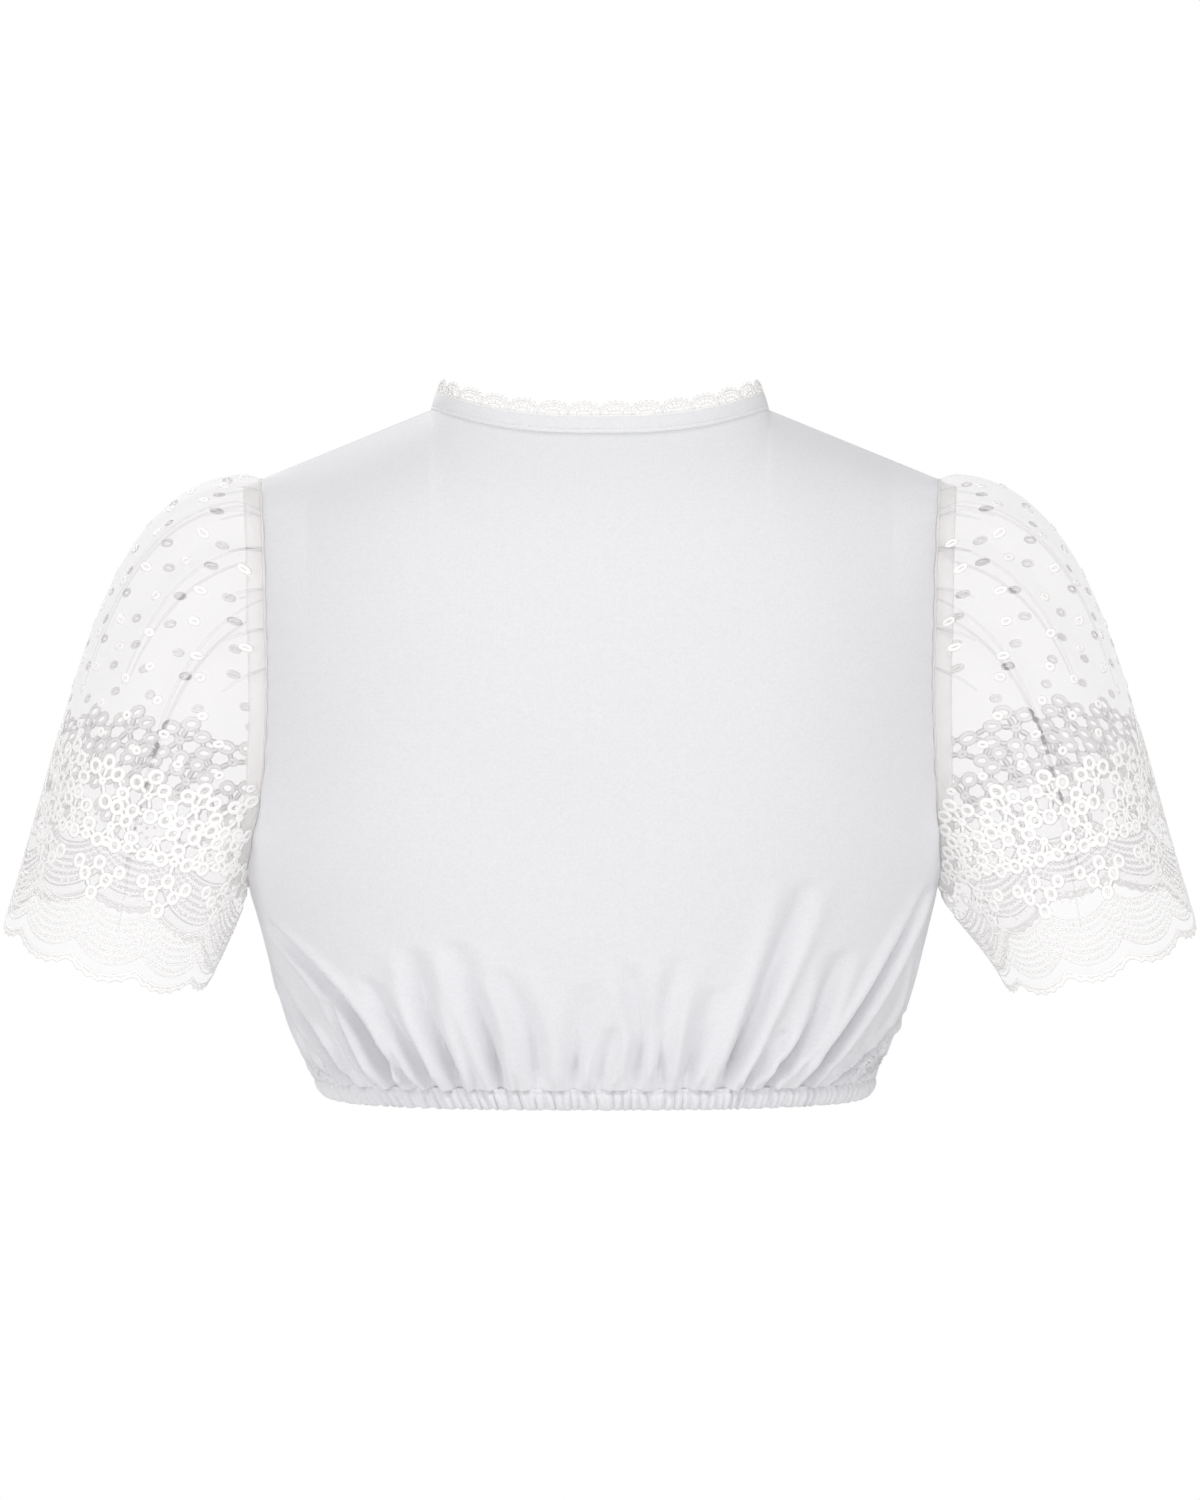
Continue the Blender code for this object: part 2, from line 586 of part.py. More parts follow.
def sleeve_form(side_x, angle, rise):
    """Points of the smooth sleeve. rise is the distance up the cloth from the hem."""
    line, reach = sleeve_lines(side_x, angle)
    at = reach[:, -1] - rise
    return np.array(
        [[np.interp(a, r, points[:, k]) for k in range(3)] for a, r, points in zip(at, reach, line)]
    )


def sleeve_normal(side_x, angle, rise):
    """The smooth sleeve's outward directions."""
    rise = np.minimum(rise, sleeve_length(side_x, angle) - 2)
    round_it = sleeve_form(side_x, angle + 1, rise) - sleeve_form(side_x, angle - 1, rise)
    up = sleeve_form(side_x, angle, rise + 1.5) - sleeve_form(side_x, angle, np.maximum(rise - 1.5, 0))
    return unit(np.cross(round_it, up)) * side_x


def gather_depth(side_x, angle, rise):
    """How far the gathered head and its long folds lift the sleeve's cloth."""
    below = sleeve_length(side_x, angle) - rise
    signed = (angle + 180) % 360 - 180
    held = np.clip(1 - np.abs(signed / CAP_GATHER_REACH) ** 4, 0, 1)
    swell = np.clip(below / 9, 0, 1) * np.clip(1 - below / CAP_GATHER_LENGTH, 0, 1)
    wave = 0.5 + 0.5 * np.cos(signed / CAP_GATHER_REACH * CAP_GATHERS * math.pi)
    lift = CAP_GATHER_DEPTH * held * swell * wave
    for fold in SLEEVE_FOLDS:
        along = np.clip(below / fold.reach, 0, 1)
        line = fold.start_angle + (fold.end_angle - fold.start_angle) * along
        off = (signed - line) * SLEEVE_GIRTH / 360 / fold.width
        shape = np.exp(-off * off) - 0.5 * np.exp(-((off - 1.6) ** 2))
        lift += fold.depth * shape * np.clip(below / 14, 0, 1) * (1 - along) ** 0.8
    return lift


def eyelets(start, end, lengths):
    """Corner loops of the eyelets cut through one half of a sleeve, over (girth, rise)."""
    turns = np.arange(EYELET_CORNERS) * 2 * math.pi / EYELET_CORNERS
    holes = []
    for flower in range(FLOWERS):
        for petal in FLOWER:
            out = unit(np.array([petal.across, petal.up]))
            centre = np.array([(flower + 0.5) * SLEEVE_GIRTH / FLOWERS, TOP_ROW]) + tuple(petal)
            if not start + EYELET_LONG < centre[0] < end - EYELET_LONG:
                continue
            if lengths(centre[0]) < centre[1] + EYELET_CLEARANCE:
                continue
            long, wide = np.cos(turns) * EYELET_LONG / 2, np.sin(turns) * EYELET_WIDE / 2
            holes.append(centre + np.outer(long, out) + np.outer(wide, [-out[1], out[0]]))
    return holes


def scallop(girth):
    """The hem's outline: how far above its lowest line the cloth ends."""
    return SCALLOP_RISE * (1 - np.abs(np.sin(girth * math.pi * HEM_SCALLOPS / SLEEVE_GIRTH)) ** 0.8)


def cap_girths(start, end, steps):
    """Places round the sleeve's head: `steps` to each gather, and wider apart under the arm."""
    reach = CAP_GATHER_REACH * SLEEVE_GIRTH / 360
    close = np.linspace(0, reach, CAP_GATHERS // 2 * steps + 1)
    under = np.linspace(reach, SLEEVE_GIRTH / 2, 6)[1:]
    half = np.concatenate([close, under])
    whole = half if start < 1 else SLEEVE_GIRTH - half[::-1]
    return np.clip(whole, start, end)


def sleeve_outline(start, end, lengths):
    """One half's cut line over (girth, rise)."""
    hem_x = np.linspace(start, end, HEM_SCALLOPS // 2 * SCALLOP_STEPS + 1)
    hem = [(x, s) for x, s in zip(hem_x, scallop(hem_x))]
    right = [(end, r) for r in np.arange(SCALLOP_RISE + 10, lengths(end) - 6, 12)]
    cap = [(x, lengths(x) - SEAM_GAP) for x in cap_girths(start, end, 4)[::-1]]
    left = [(start, r) for r in np.arange(SCALLOP_RISE + 10, lengths(start) - 6, 12)]
    return np.array(hem + right + cap + left[::-1])


def sleeve_filling(start, end, lengths):
    """Points over one half: close together under the gathered head, wider apart below it."""
    points = []
    for below, steps in ((8, 4), (20, 4), (36, 2)):
        points += [(x, lengths(x) - below) for x in cap_girths(start, end, steps)[1:-1]]
    for row, rise in enumerate(np.arange(14, 300, SLEEVE_SPACING * 0.87)):
        offset = (row % 2) * SLEEVE_SPACING / 2
        points += [(start + offset + SLEEVE_SPACING * i, rise) for i in range(1, 14)]
    return points


def make_sleeve_half(name, side_x, start, end, material):
    """One half of a sleeve's tube, with its eyelets cut through."""
    start, end = start + 0.2, end - 0.2
    marks = np.linspace(0, SLEEVE_GIRTH, 121)
    known = sleeve_length(side_x, marks * 360 / SLEEVE_GIRTH)

    def lengths(girth):
        return np.interp(girth, marks, known)

    outline, holes = sleeve_outline(start, end, lengths), eyelets(start, end, lengths)
    filling = np.array(sleeve_filling(start, end, lengths))
    filling = filling[inside_outline(filling, outline)]
    near = [p for hole in holes for p in (*hole, hole.mean(axis=0))]
    filling = apart(filling, [*outline, *near], 4.6)
    flat, triangles = cut_cloth(outline, holes, filling)
    angle, rise = flat[:, 0] * 360 / SLEEVE_GIRTH, flat[:, 1]
    form, normal = sleeve_form(side_x, angle, rise), sleeve_normal(side_x, angle, rise)
    outer = form + normal * gather_depth(side_x, angle, rise)[:, None]
    return wall(name, outer, outer - normal * TULLE_WALL, triangles, material)


def make_allowance(name, side_x, material):
    """The seam allowance inside the sleeve's head, from the armhole seam outwards."""
    angle = np.arange(ALLOWANCE_STEPS) * 360 / ALLOWANCE_STEPS
    length = sleeve_length(side_x, angle)
    rows = []
    near, far = ALLOWANCE_DROPS
    corners = ((1.2, near, 0), (ALLOWANCE_WIDTH, far, 0), (ALLOWANCE_WIDTH, far, 1), (1.2, near, 1))
    for below, drop, skin in corners:
        rise = length - below
        normal = sleeve_normal(side_x, angle, rise)
        inward = drop + skin * ALLOWANCE_WALL
        rows.append(sleeve_form(side_x, angle, rise) - normal * inward)
    return ring_wall(name, rows, material)


def cloth(name, colour, roughness):
    """A plain cloth finish."""
    material = bpy.data.materials.new(name)
    material.use_nodes = True
    shader = material.node_tree.nodes["Principled BSDF"]
    shader.inputs["Base Color"].default_value = (*colour, 1.0)
    shader.inputs["Roughness"].default_value = roughness
    shader.inputs["Metallic"].default_value = 0.0
    return material


def main():
    """Clears the scene and makes every piece."""
    for old in list(bpy.data.objects):
        bpy.data.objects.remove(old)
    cotton = cloth("cotton", (0.86, 0.86, 0.88), 0.85)
    tulle = cloth("tulle", (0.88, 0.87, 0.89), 0.7)
    lace = cloth("lace", (0.9, 0.9, 0.91), 0.75)
    make_panel("back", BACK, BACK_FOLDS, cotton)
    make_panel("front", FRONT, FRONT_FOLDS, cotton)
    make_casing(cotton)
    make_neck_band(cotton)
    make_neck_lace(lace)
    half = SLEEVE_GIRTH / 2
    for word, side_x in (("left", 1), ("right", -1)):
        make_sleeve_half(f"sleeve_{word}_back", side_x, 0, half, tulle)
        make_sleeve_half(f"sleeve_{word}_front", side_x, half, SLEEVE_GIRTH, tulle)
        make_allowance(f"armhole_seam_{word}", side_x, cotton)


main()
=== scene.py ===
"""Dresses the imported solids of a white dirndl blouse: cotton panels, a gathered hem, lace and tulle sleeves.

The wearer faces -Y and +X is the wearer's left. Sizes are millimetres here, and become metres in a mesh.
"""

import json
import math
from collections import namedtuple

import bpy
import numpy as np
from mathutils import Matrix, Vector
from mathutils.geometry import delaunay_2d_cdt

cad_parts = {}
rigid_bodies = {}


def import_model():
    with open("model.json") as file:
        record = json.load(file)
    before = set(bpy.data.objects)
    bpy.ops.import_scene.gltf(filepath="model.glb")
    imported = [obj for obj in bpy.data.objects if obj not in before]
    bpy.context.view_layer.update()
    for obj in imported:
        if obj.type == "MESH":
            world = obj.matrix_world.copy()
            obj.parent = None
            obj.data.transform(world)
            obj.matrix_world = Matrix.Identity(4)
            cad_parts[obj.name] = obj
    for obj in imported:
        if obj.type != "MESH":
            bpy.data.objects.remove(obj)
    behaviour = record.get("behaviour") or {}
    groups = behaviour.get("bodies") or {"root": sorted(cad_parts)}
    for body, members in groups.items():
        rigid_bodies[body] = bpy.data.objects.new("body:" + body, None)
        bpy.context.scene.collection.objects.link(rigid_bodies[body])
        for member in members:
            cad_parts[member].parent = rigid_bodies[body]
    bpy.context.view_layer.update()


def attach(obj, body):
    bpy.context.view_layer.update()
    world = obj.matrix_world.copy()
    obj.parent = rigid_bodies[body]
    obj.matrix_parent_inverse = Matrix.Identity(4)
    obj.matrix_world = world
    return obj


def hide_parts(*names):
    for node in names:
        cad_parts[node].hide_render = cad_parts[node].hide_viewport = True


bl_info = {
    "name": "Dirndl Blouse",
    "version": (1, 0, 0),
    "blender": (4, 5, 0),
    "location": "View3D > Sidebar > Blouse",
    "description": "Builds a cotton and tulle blouse around its packed frame",
    "category": "Object",
}

for old in list(bpy.data.objects):
    bpy.data.objects.remove(old)
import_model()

MM = 0.001
SEED = 11

# The body's heights, its shoulder seams and how full its sections are, as in the part's source
HEM_Z, UNDERARM_Z, ARCH_Z, ARCH_RISE = -362.0, -256.0, -110.0, 100.0
NECK_X, NECK_Y, TIP_X, TIP_Y, TIP_Z, SIDE_Y = 91.0, 2.0, 183.0, -6.0, -37.0, -3.0
NECK_SHARE, FULLNESS, ARMHOLE_FULLNESS = 0.5, 2.4, 2.4
PANEL_SPREAD = 220.0
HEM_SIDE_RISE = 3.0

Girth = namedtuple("Girth", "z half_width shift back_y front_y rounding")
BODY = (
    Girth(-374, 144.0, 1.5, 88.0, 100.0, 2.0),
    Girth(-368, 149.0, 2.0, 90.5, 102.5, 2.0),
    Girth(-362, 151.3, 3.0, 92.0, 104.0, 2.0),
    Girth(-350, 157.0, 3.8, 96.0, 109.0, 2.0),
    Girth(-338, 162.6, 4.0, 99.5, 113.0, 2.0),
    Girth(-320, 168.8, 3.4, 103.0, 119.0, 2.0),
    Girth(-300, 175.0, 2.9, 106.0, 125.0, 2.0),
    Girth(-275, 181.5, 3.0, 109.0, 130.0, 2.0),
    Girth(-256, 186.0, 3.6, 111.0, 132.0, 2.0),
    Girth(-238, 184.5, 2.5, 112.5, 133.0, 1.8),
    Girth(-215, 181.0, 1.0, 114.0, 132.0, 1.6),
    Girth(-180, 178.0, 0.0, 116.0, 125.0, 1.4),
    Girth(-145, 177.0, 0.0, 116.0, 113.0, 1.3),
    Girth(-110, 178.0, 0.0, 112.0, 97.0, 1.25),
)
Side = namedtuple("Side", "way depth arm_depth neck_y neck_z dip lean neckline_z neckline_curve")
BACK = Side(1, "back_y", 48.0, 66.0, -16.0, 2.6, 38.0, None, None)
FRONT = Side(-1, "front_y", 50.0, 64.0, -62.0, 1.8, 30.0, -178.0, 0.85)
BUST_X, BUST_Z, BUST_SPREAD, BUST_RISE = 84.0, -212.0, 44.0, 9.0

# Folds that rise from the gathered hem: where each starts, bends and ends
Fold = namedtuple("Fold", "hem_x mid_x mid_z top_x top_z depth width")
BACK_FOLDS = (
    Fold(140, 153, -351, 166, -327, 3.5, 5.0),
    Fold(130, 153, -335, 178, -299, 6.5, 6.0),
    Fold(118, 135, -333, 150, -303, 4.0, 4.5),
    Fold(107, 132, -322, 180, -274, 8.0, 6.5),
    Fold(96, 106, -352, 118, -338, 3.0, 4.0),
    Fold(87, 104, -334, 122, -304, 5.0, 5.5),
    Fold(74, 88, -331, 99, -288, 5.0, 6.0),
    Fold(52, 63, -324, 75, -285, 4.5, 6.0),
    Fold(33, 39, -325, 52, -299, 3.5, 6.0),
    Fold(14, 11, -335, 7, -306, 3.0, 6.0),
    Fold(0, -2, -345, -6, -329, 3.0, 5.0),
    Fold(-18, -22, -335, -16, -296, 3.5, 5.5),
    Fold(-31, -33, -327, -41, -292, 3.0, 5.5),
    Fold(-44, -52, -335, -59, -309, 3.5, 6.0),
    Fold(-64, -85, -317, -109, -254, 5.5, 6.5),
    Fold(-75, -85, -348, -97, -331, 3.0, 4.5),
    Fold(-88, -112, -331, -128, -290, 5.5, 6.5),
    Fold(-107, -139, -319, -179, -256, 8.0, 6.5),
    Fold(-122, -153, -335, -173, -289, 6.0, 5.5),
    Fold(-135, -153, -348, -165, -324, 3.5, 5.0),
)
FRONT_FOLDS = (
    Fold(141, 154, -348, 168, -318, 4.0, 5.5),
    Fold(129, 150, -332, 174, -288, 6.5, 6.5),
    Fold(115, 130, -340, 146, -306, 4.0, 5.0),
    Fold(101, 117, -322, 136, -262, 6.5, 6.5),
    Fold(86, 96, -342, 106, -310, 4.0, 5.0),
    Fold(70, 79, -320, 88, -260, 6.0, 6.5),
    Fold(52, 57, -338, 62, -302, 4.0, 5.5),
    Fold(35, 38, -326, 42, -272, 5.0, 6.0),
    Fold(16, 15, -340, 14, -304, 3.5, 5.5),
    Fold(-4, -6, -328, -8, -284, 4.5, 6.0),
    Fold(-25, -27, -340, -30, -306, 3.5, 5.0),
    Fold(-44, -48, -322, -52, -268, 5.5, 6.5),
    Fold(-61, -66, -340, -72, -304, 4.0, 5.0),
    Fold(-77, -87, -318, -98, -258, 6.5, 6.5),
    Fold(-93, -104, -340, -116, -304, 4.0, 5.0),
    Fold(-108, -126, -322, -148, -270, 6.5, 6.5),
    Fold(-124, -142, -338, -160, -300, 4.5, 5.5),
    Fold(-138, -156, -336, -174, -286, 5.5, 6.0),
)
PUFF, HEM_HOLD, FOLD_CRISPNESS = 0.45, 0.35, 2.1

# The hem's ribs: their widths round the hem, and the fine pleats that run up from them
RIB_WIDTHS, RIB_PITCH, RIB_DEPTHS, RIB_SLANT = (3.9, 5.3), 4.6, (0.8, 1.1), 0.25
FINE_PLEATS, FORM_SMOOTHING, NECK_SMOOTHING = 64, 90, 30
# Close to a side seam the folds die out over this share of the panel, and at a shoulder seam over this height
CALM_SHARE, SEAM_FADE = 0.1, 25.0

# Neck binding and lace
NECK_POINT_LIFT, NECK_STAND, NECK_LEAN_IN = 0.6, 50.0, 26.0
BAND_HEIGHT, LACE_SCALLOPS = 9.0, 44

# Sleeve: how its cloth leaves the armhole, where its hem lies and how it arrives there
SleeveLine = namedtuple(
    "SleeveLine", "leave_x leave_y leave_z hem_x hem_y hem_z arrive_x arrive_y arrive_z"
)
SLEEVE = (
    SleeveLine(264, 0, 28, 322, -3, -276, 118, 0, -360),
    SleeveLine(150, 62, -45, 266, 62, -305, 75, 8, -205),
    SleeveLine(12, 0, -52, 211, -3, -308, 30, 0, -60),
    SleeveLine(150, -62, -45, 266, -68, -272, 75, -8, -190),
)
FRONT_LIFT_RIGHT, UNDER_OUT_RIGHT = 8.0, 7.0
SLEEVE_GIRTH, HEM_SCALLOPS, SCALLOP_RISE = 390.0, 10, 6.5
CAP_GATHERS, CAP_GATHER_REACH, CAP_GATHER_DEPTH, CAP_GATHER_LENGTH = 14, 100.0, 3.0, 62.0
SleeveFold = namedtuple("SleeveFold", "start_angle end_angle reach depth width")
SLEEVE_FOLDS = (
    SleeveFold(27, 25, 150, 6.5, 7.0),
    SleeveFold(43, 50, 105, 3.5, 6.0),
    SleeveFold(62, 92, 160, 5.5, 6.0),
    SleeveFold(-24, -20, 140, 5.5, 7.0),
    SleeveFold(-44, -48, 110, 3.5, 6.0),
    SleeveFold(-62, -86, 150, 5.0, 6.5),
)

# The embroidered border: eyelet petals about a flower's centre, and how often it repeats
PETALS = ((0, 10.8), (-7.0, 5.5), (7.0, 5.5), (13.0, -2.5), (-5.0, -9.5), (5.0, -9.5))
FLOWERS, FLOWER_PITCH, TOP_ROW, SECOND_ROW = 15, 26.0, 100.5, 79.5
JOINT_PITCH = 39.0
DOT_COLUMNS, DOT_ROW, DOT_ROWS, DOT_START = 19, 15.5, 14, 122.0
STRIP_STEPS = 26
ARC_ROWS, ARC_RINGS, ARC_PITCH = 6, 15, 3.9

# Metres from here on: the soft lights, where they aim, and the photo's camera
AIM = (0, 0, -0.18)
Light = namedtuple("Light", "name place size power")
LIGHTS = (
    Light("key", (-0.25, 1.7, 1.9), 0.7, 18),
    Light("face", (0.3, 2.8, -0.3), 1.4, 14),
    Light("fill", (1.8, 1.4, 0.1), 1.4, 12),
    Light("side", (-1.8, 1.4, 0.1), 1.4, 11),
    Light("front_key", (0.9, -2.2, 1.2), 1.2, 36),
    Light("top", (0, -0.4, 2.2), 1.6, 1.5),
)
CAMERA_PLACE, SENSOR, CAMERA_LENS = (0, 3.0, -0.1836), 36.0, 36.0 * 3000 / 810
FLOOR_RADIUS, FLOOR_Z, WORLD_LIGHT = 1.3, -0.95, 0.38


def through(keys, values, at):
    """The smooth curve through a table's values, read at `at`."""
    keys, values, at = np.asarray(keys, float), np.asarray(values, float), np.asarray(at, float)
    slopes = np.gradient(values, keys)
    i = np.clip(np.searchsorted(keys, at) - 1, 0, len(keys) - 2)
    step = keys[i + 1] - keys[i]
    t = np.clip((at - keys[i]) / step, 0, 1)
    start = (1 + 2 * t) * (1 - t) ** 2 * values[i] + t * (1 - t) ** 2 * step * slopes[i]
    return start + t * t * (3 - 2 * t) * values[i + 1] + t * t * (t - 1) * step * slopes[i + 1]


def body_column(name, z):
    """One named column of the body's table at height z."""
    return through([g.z for g in BODY], [getattr(g, name) for g in BODY], z)


def edge_y(side, z):
    """How far the panel's edge stands from the side seam: nothing below the armhole, an oval in it."""
    fall = np.clip((ARCH_Z - z) / (ARCH_Z - UNDERARM_Z), 0, 1)
    return SIDE_Y + side.way * side.arm_depth * (1 - fall**ARMHOLE_FULLNESS) ** (1 / ARMHOLE_FULLNESS)


def top_line(side, c):
    """The form's top: the shoulder seam outside the neck point, and the neck's root inside it."""
    reach = np.abs(c)
    turn = np.clip(reach / NECK_SHARE, 0, 1) * math.pi / 2
    along = np.clip((reach - NECK_SHARE) / (1 - NECK_SHARE), 0, 1)
    x = np.sign(c) * (NECK_X * np.sin(turn) + (TIP_X - NECK_X) * along)
    y = NECK_Y + side.way * side.neck_y * np.cos(turn) ** 0.9 + (TIP_Y - NECK_Y) * along
    z = side.neck_z * (1 - np.sin(turn) ** side.dip) + TIP_Z * along
    return x, y, z


def body_form(side, c, h):
    """Points of the smooth body. c runs from -1 to 1 across a panel and h up it."""
    c, h = np.broadcast_arrays(np.asarray(c, float), np.asarray(h, float))
    z = np.minimum(h, ARCH_Z)
    sweep = np.clip((ARCH_Z - z) / (ARCH_Z - UNDERARM_Z), 0, 1)
    share = (1 - sweep) * c + sweep * np.sin(c * math.pi / 2)
    edge = edge_y(side, z)
    middle = side.way * body_column(side.depth, z)
    inside = np.clip(1 - np.abs(share) ** FULLNESS, 0, 1)
    x = body_column("half_width", z) * share + body_column("shift", z)
    y = edge + (middle - edge) * inside ** (1 / body_column("rounding", z))
    if side is FRONT:
        off = (np.abs(x) - BUST_X) ** 2 + (z - BUST_Z) ** 2
        y = y - BUST_RISE * np.exp(-off / (2 * BUST_SPREAD**2))
    rise = np.clip((h - ARCH_Z) / ARCH_RISE, 0, 1)
    lean = np.radians(side.lean + (90 - side.lean) * np.clip(np.abs(c) / NECK_SHARE, 0, 1) ** 3)
    turn = rise * lean
    top_x, top_y, top_z = top_line(side, c)
    x = x + (top_x - x) * rise * rise * (3 - 2 * rise)
    y = y + (top_y - y) * (1 - np.cos(turn)) / (1 - np.cos(lean))
    z = z + (top_z - z) * np.sin(turn) / np.sin(lean)
    z = z + HEM_SIDE_RISE * np.abs(c) ** 4 * np.clip((-320 - z) / 40, 0, 1)
    return np.stack([x, y, z], axis=-1)


def unit(vectors):
    """Vectors of length 1."""
    return vectors / np.maximum(np.linalg.norm(vectors, axis=-1, keepdims=True), 1e-9)


def body_normal(side, c, h):
    """The smooth body's outward directions."""
    c, h = np.broadcast_arrays(np.asarray(c, float), np.asarray(h, float))
    across = body_form(side, np.minimum(c + 0.004, 1), h) - body_form(side, np.maximum(c - 0.004, -1), h)
    top = ARCH_Z + ARCH_RISE
    up = body_form(side, c, np.minimum(h + 1.0, top)) - body_form(side, c, np.minimum(h, top) - 1.0)
    return unit(np.cross(across, up)) * -side.way


def fold_depth(folds, c, h):
    """How far the gathers push the cloth in or out: creased troughs with a puff beside each."""
    total = np.zeros(np.broadcast(c, h).shape)
    for fold in folds:
        x = through((HEM_Z, fold.mid_z, fold.top_z), (fold.hem_x, fold.mid_x, fold.top_x), h)
        share = np.clip((x - body_column("shift", h)) / body_column("half_width", h), -0.99, 0.99)
        line = np.arcsin(share) * 2 / math.pi
        along = np.clip((h - HEM_Z) / (fold.top_z - HEM_Z), 0, 1)
        off = (c - line) * PANEL_SPREAD / (fold.width * (0.5 + 0.45 * along))
        fade = np.where(h < fold.top_z, (1 - along) ** 0.6, 0) * np.minimum(HEM_HOLD + along * 5, 1)
        puff = PUFF * np.exp(-((np.abs(off) - 2.0) ** 2))
        total += FOLD_CRISPNESS * fold.depth * fade * (puff - np.exp(-np.abs(off) ** 1.6))
    return total


def hem_table():
    """Distances round the hem in millimetres at even turns from 0 to 4, back first from the left side."""
    turns = np.linspace(0, 4, 1601)
    ring = ring_at(turns, HEM_Z)[0]
    return turns, np.concatenate([[0], np.cumsum(np.linalg.norm(np.diff(ring, axis=0), axis=1))])


def ring_at(turns, z):
    """Points round the body at height z, and the outward directions there."""
    back = turns < 2
    c = np.where(back, 1 - turns, turns - 3)
    points = np.where(back[:, None], body_form(BACK, c, z), body_form(FRONT, c, z))
    outs = np.where(back[:, None], body_normal(BACK, c, z), body_normal(FRONT, c, z))
    return points, outs


def hem_ribs():
    """The hem's gathers: where each ends round the hem, how deep it is and how far it slants."""
    girth = hem_table()[1][-1]
    rng = np.random.default_rng(SEED)
    widths = rng.uniform(*RIB_WIDTHS, int(girth / RIB_PITCH))
    ends = np.concatenate([[0], np.cumsum(widths)]) * girth / widths.sum()
    slants = (-RIB_SLANT, RIB_SLANT)
    return ends, rng.uniform(*RIB_DEPTHS, len(widths)), rng.uniform(*slants, len(widths))


def rib_lift(place, slant=0.0):
    """How far each place round the hem stands out on its gather, from 0 in a pinch to about 1."""
    ends, depths, slants = hem_ribs()
    at = place % ends[-1]
    rib = np.clip(np.searchsorted(ends, at, side="right") - 1, 0, len(depths) - 1)
    at = np.clip(at + slants[rib] * slant, ends[rib], ends[rib + 1])
    across = (at - ends[rib]) / (ends[rib + 1] - ends[rib])
    return depths[rib] * np.abs(np.sin(across * math.pi)) ** 0.75


def pleat_depth(side, c, h):
    """Fine pleats above the casing: the hem's gathers run up into the panel and die out."""
    turns, reach = hem_table()
    turn = 1 - c if side is BACK else 3 + c
    place = np.interp(turn, turns, reach)
    up = h - HEM_Z
    ends, _, _ = hem_ribs()
    lengths = np.random.default_rng(SEED + 1).uniform(5, 30, len(ends))
    rib = np.clip(np.searchsorted(ends, place, side="right") - 1, 0, len(ends) - 1)
    near = 1.9 * rib_lift(place) * np.exp(-up / 7.0)
    rng = np.random.default_rng(SEED + (2 if side is BACK else 3))
    far = np.zeros(near.shape)
    for _ in range(FINE_PLEATS):
        start, length = rng.uniform(-0.97, 0.97), rng.uniform(14, 52)
        spread, depth, lean = rng.uniform(2.0, 3.8), rng.uniform(0.9, 2.3), rng.uniform(0.0002, 0.0009)
        off = (c - start * (1 + lean * up)) * PANEL_SPREAD / (spread * (0.7 + up / length * 0.8))
        fade = np.clip(1 - up / length, 0, 1) ** 1.2 * np.clip(0.35 + up / 7, 0, 1)
        far += depth * fade * (0.45 * np.exp(-((np.abs(off) - 1.7) ** 2)) - np.exp(-off * off))
    return near * np.clip(1 - up / (2 + lengths[rib]), 0, 1) + far - 0.6 * np.exp(-up / 1.6)


def ease_depth(side, c, h):
    """The slack of worn cotton: broad soft swells, and short puckers beside the armhole seams."""
    swell = 0.9 * np.sin(c * 5.1 + h / 47 + side.way) * np.sin(h / 61 + c * 2.3)
    swell = swell + 0.5 * np.sin(c * 11.0 - h / 29 + 1.3 * side.way) * np.sin(h / 37 + 0.7)
    near_seam = np.clip((np.abs(c) - 0.86) / 0.14, 0, 1)
    pucker = 0.35 * near_seam * np.sin(h / 2.6 + 3 * np.sin(h / 23)) * (h > UNDERARM_Z)
    return swell * np.clip(1 - np.abs(c) ** 8, 0, 1) * np.clip((h - HEM_Z) / 30, 0, 1) + pucker


def grid_faces(rows, columns, closed):
    """Quads of a grid of points given row by row. closed joins its last column to its first."""
    r = np.arange(rows - 1)[:, None] * columns
    c = np.arange(columns if closed else columns - 1)[None]
    n = (c + 1) % columns
    return np.stack([r + c, r + n, r + columns + n, r + columns + c], axis=-1).reshape(-1, 4)


def ring_faces(rows, columns):
    """Quads of a tube that is closed both ways."""
    c = np.arange(columns)[None]
    n = (c + 1) % columns
    r, s = np.arange(rows)[:, None] * columns, (np.arange(rows)[:, None] + 1) % rows * columns
    return np.stack([r + c, r + n, s + n, s + c], axis=-1).reshape(-1, 4)


def cords(points, normals, half_width, half_height, sides, closed):
    """Cords that lie on cloth, one for each row of points: oval in section, flat against the cloth."""
    if closed:
        forward = np.roll(points, -1, axis=1) - np.roll(points, 1, axis=1)
    else:
        forward = np.gradient(points, axis=1)
    across = unit(np.cross(forward, normals))
    up = unit(np.cross(across, forward))
    turn = np.arange(sides) * 2 * math.pi / sides
    wide = np.broadcast_to(np.asarray(half_width, float), points.shape[:2])[..., None, None]
    high = np.broadcast_to(np.asarray(half_height, float), points.shape[:2])[..., None, None]
    skin = points[:, :, None] + across[:, :, None] * np.cos(turn)[None, None, :, None] * wide
    skin = skin + up[:, :, None] * np.sin(turn)[None, None, :, None] * high
    count, steps = points.shape[:2]
    one = ring_faces(steps, sides) if closed else grid_faces(steps, sides, True)
    if not closed:
        low, last = np.arange(sides), (steps - 1) * sides + np.arange(sides)
        pairs = [(0, i, i + 1, i + 2) for i in range(1, sides - 2, 2)]
        caps = [[low[i] for i in reversed(p)] for p in pairs] + [[last[i] for i in p] for p in pairs]
        one = np.concatenate([one, np.array(caps)])
    faces = one[None] + (np.arange(count) * steps * sides)[:, None, None]
    return skin.reshape(-1, 3), faces.reshape(-1, 4)


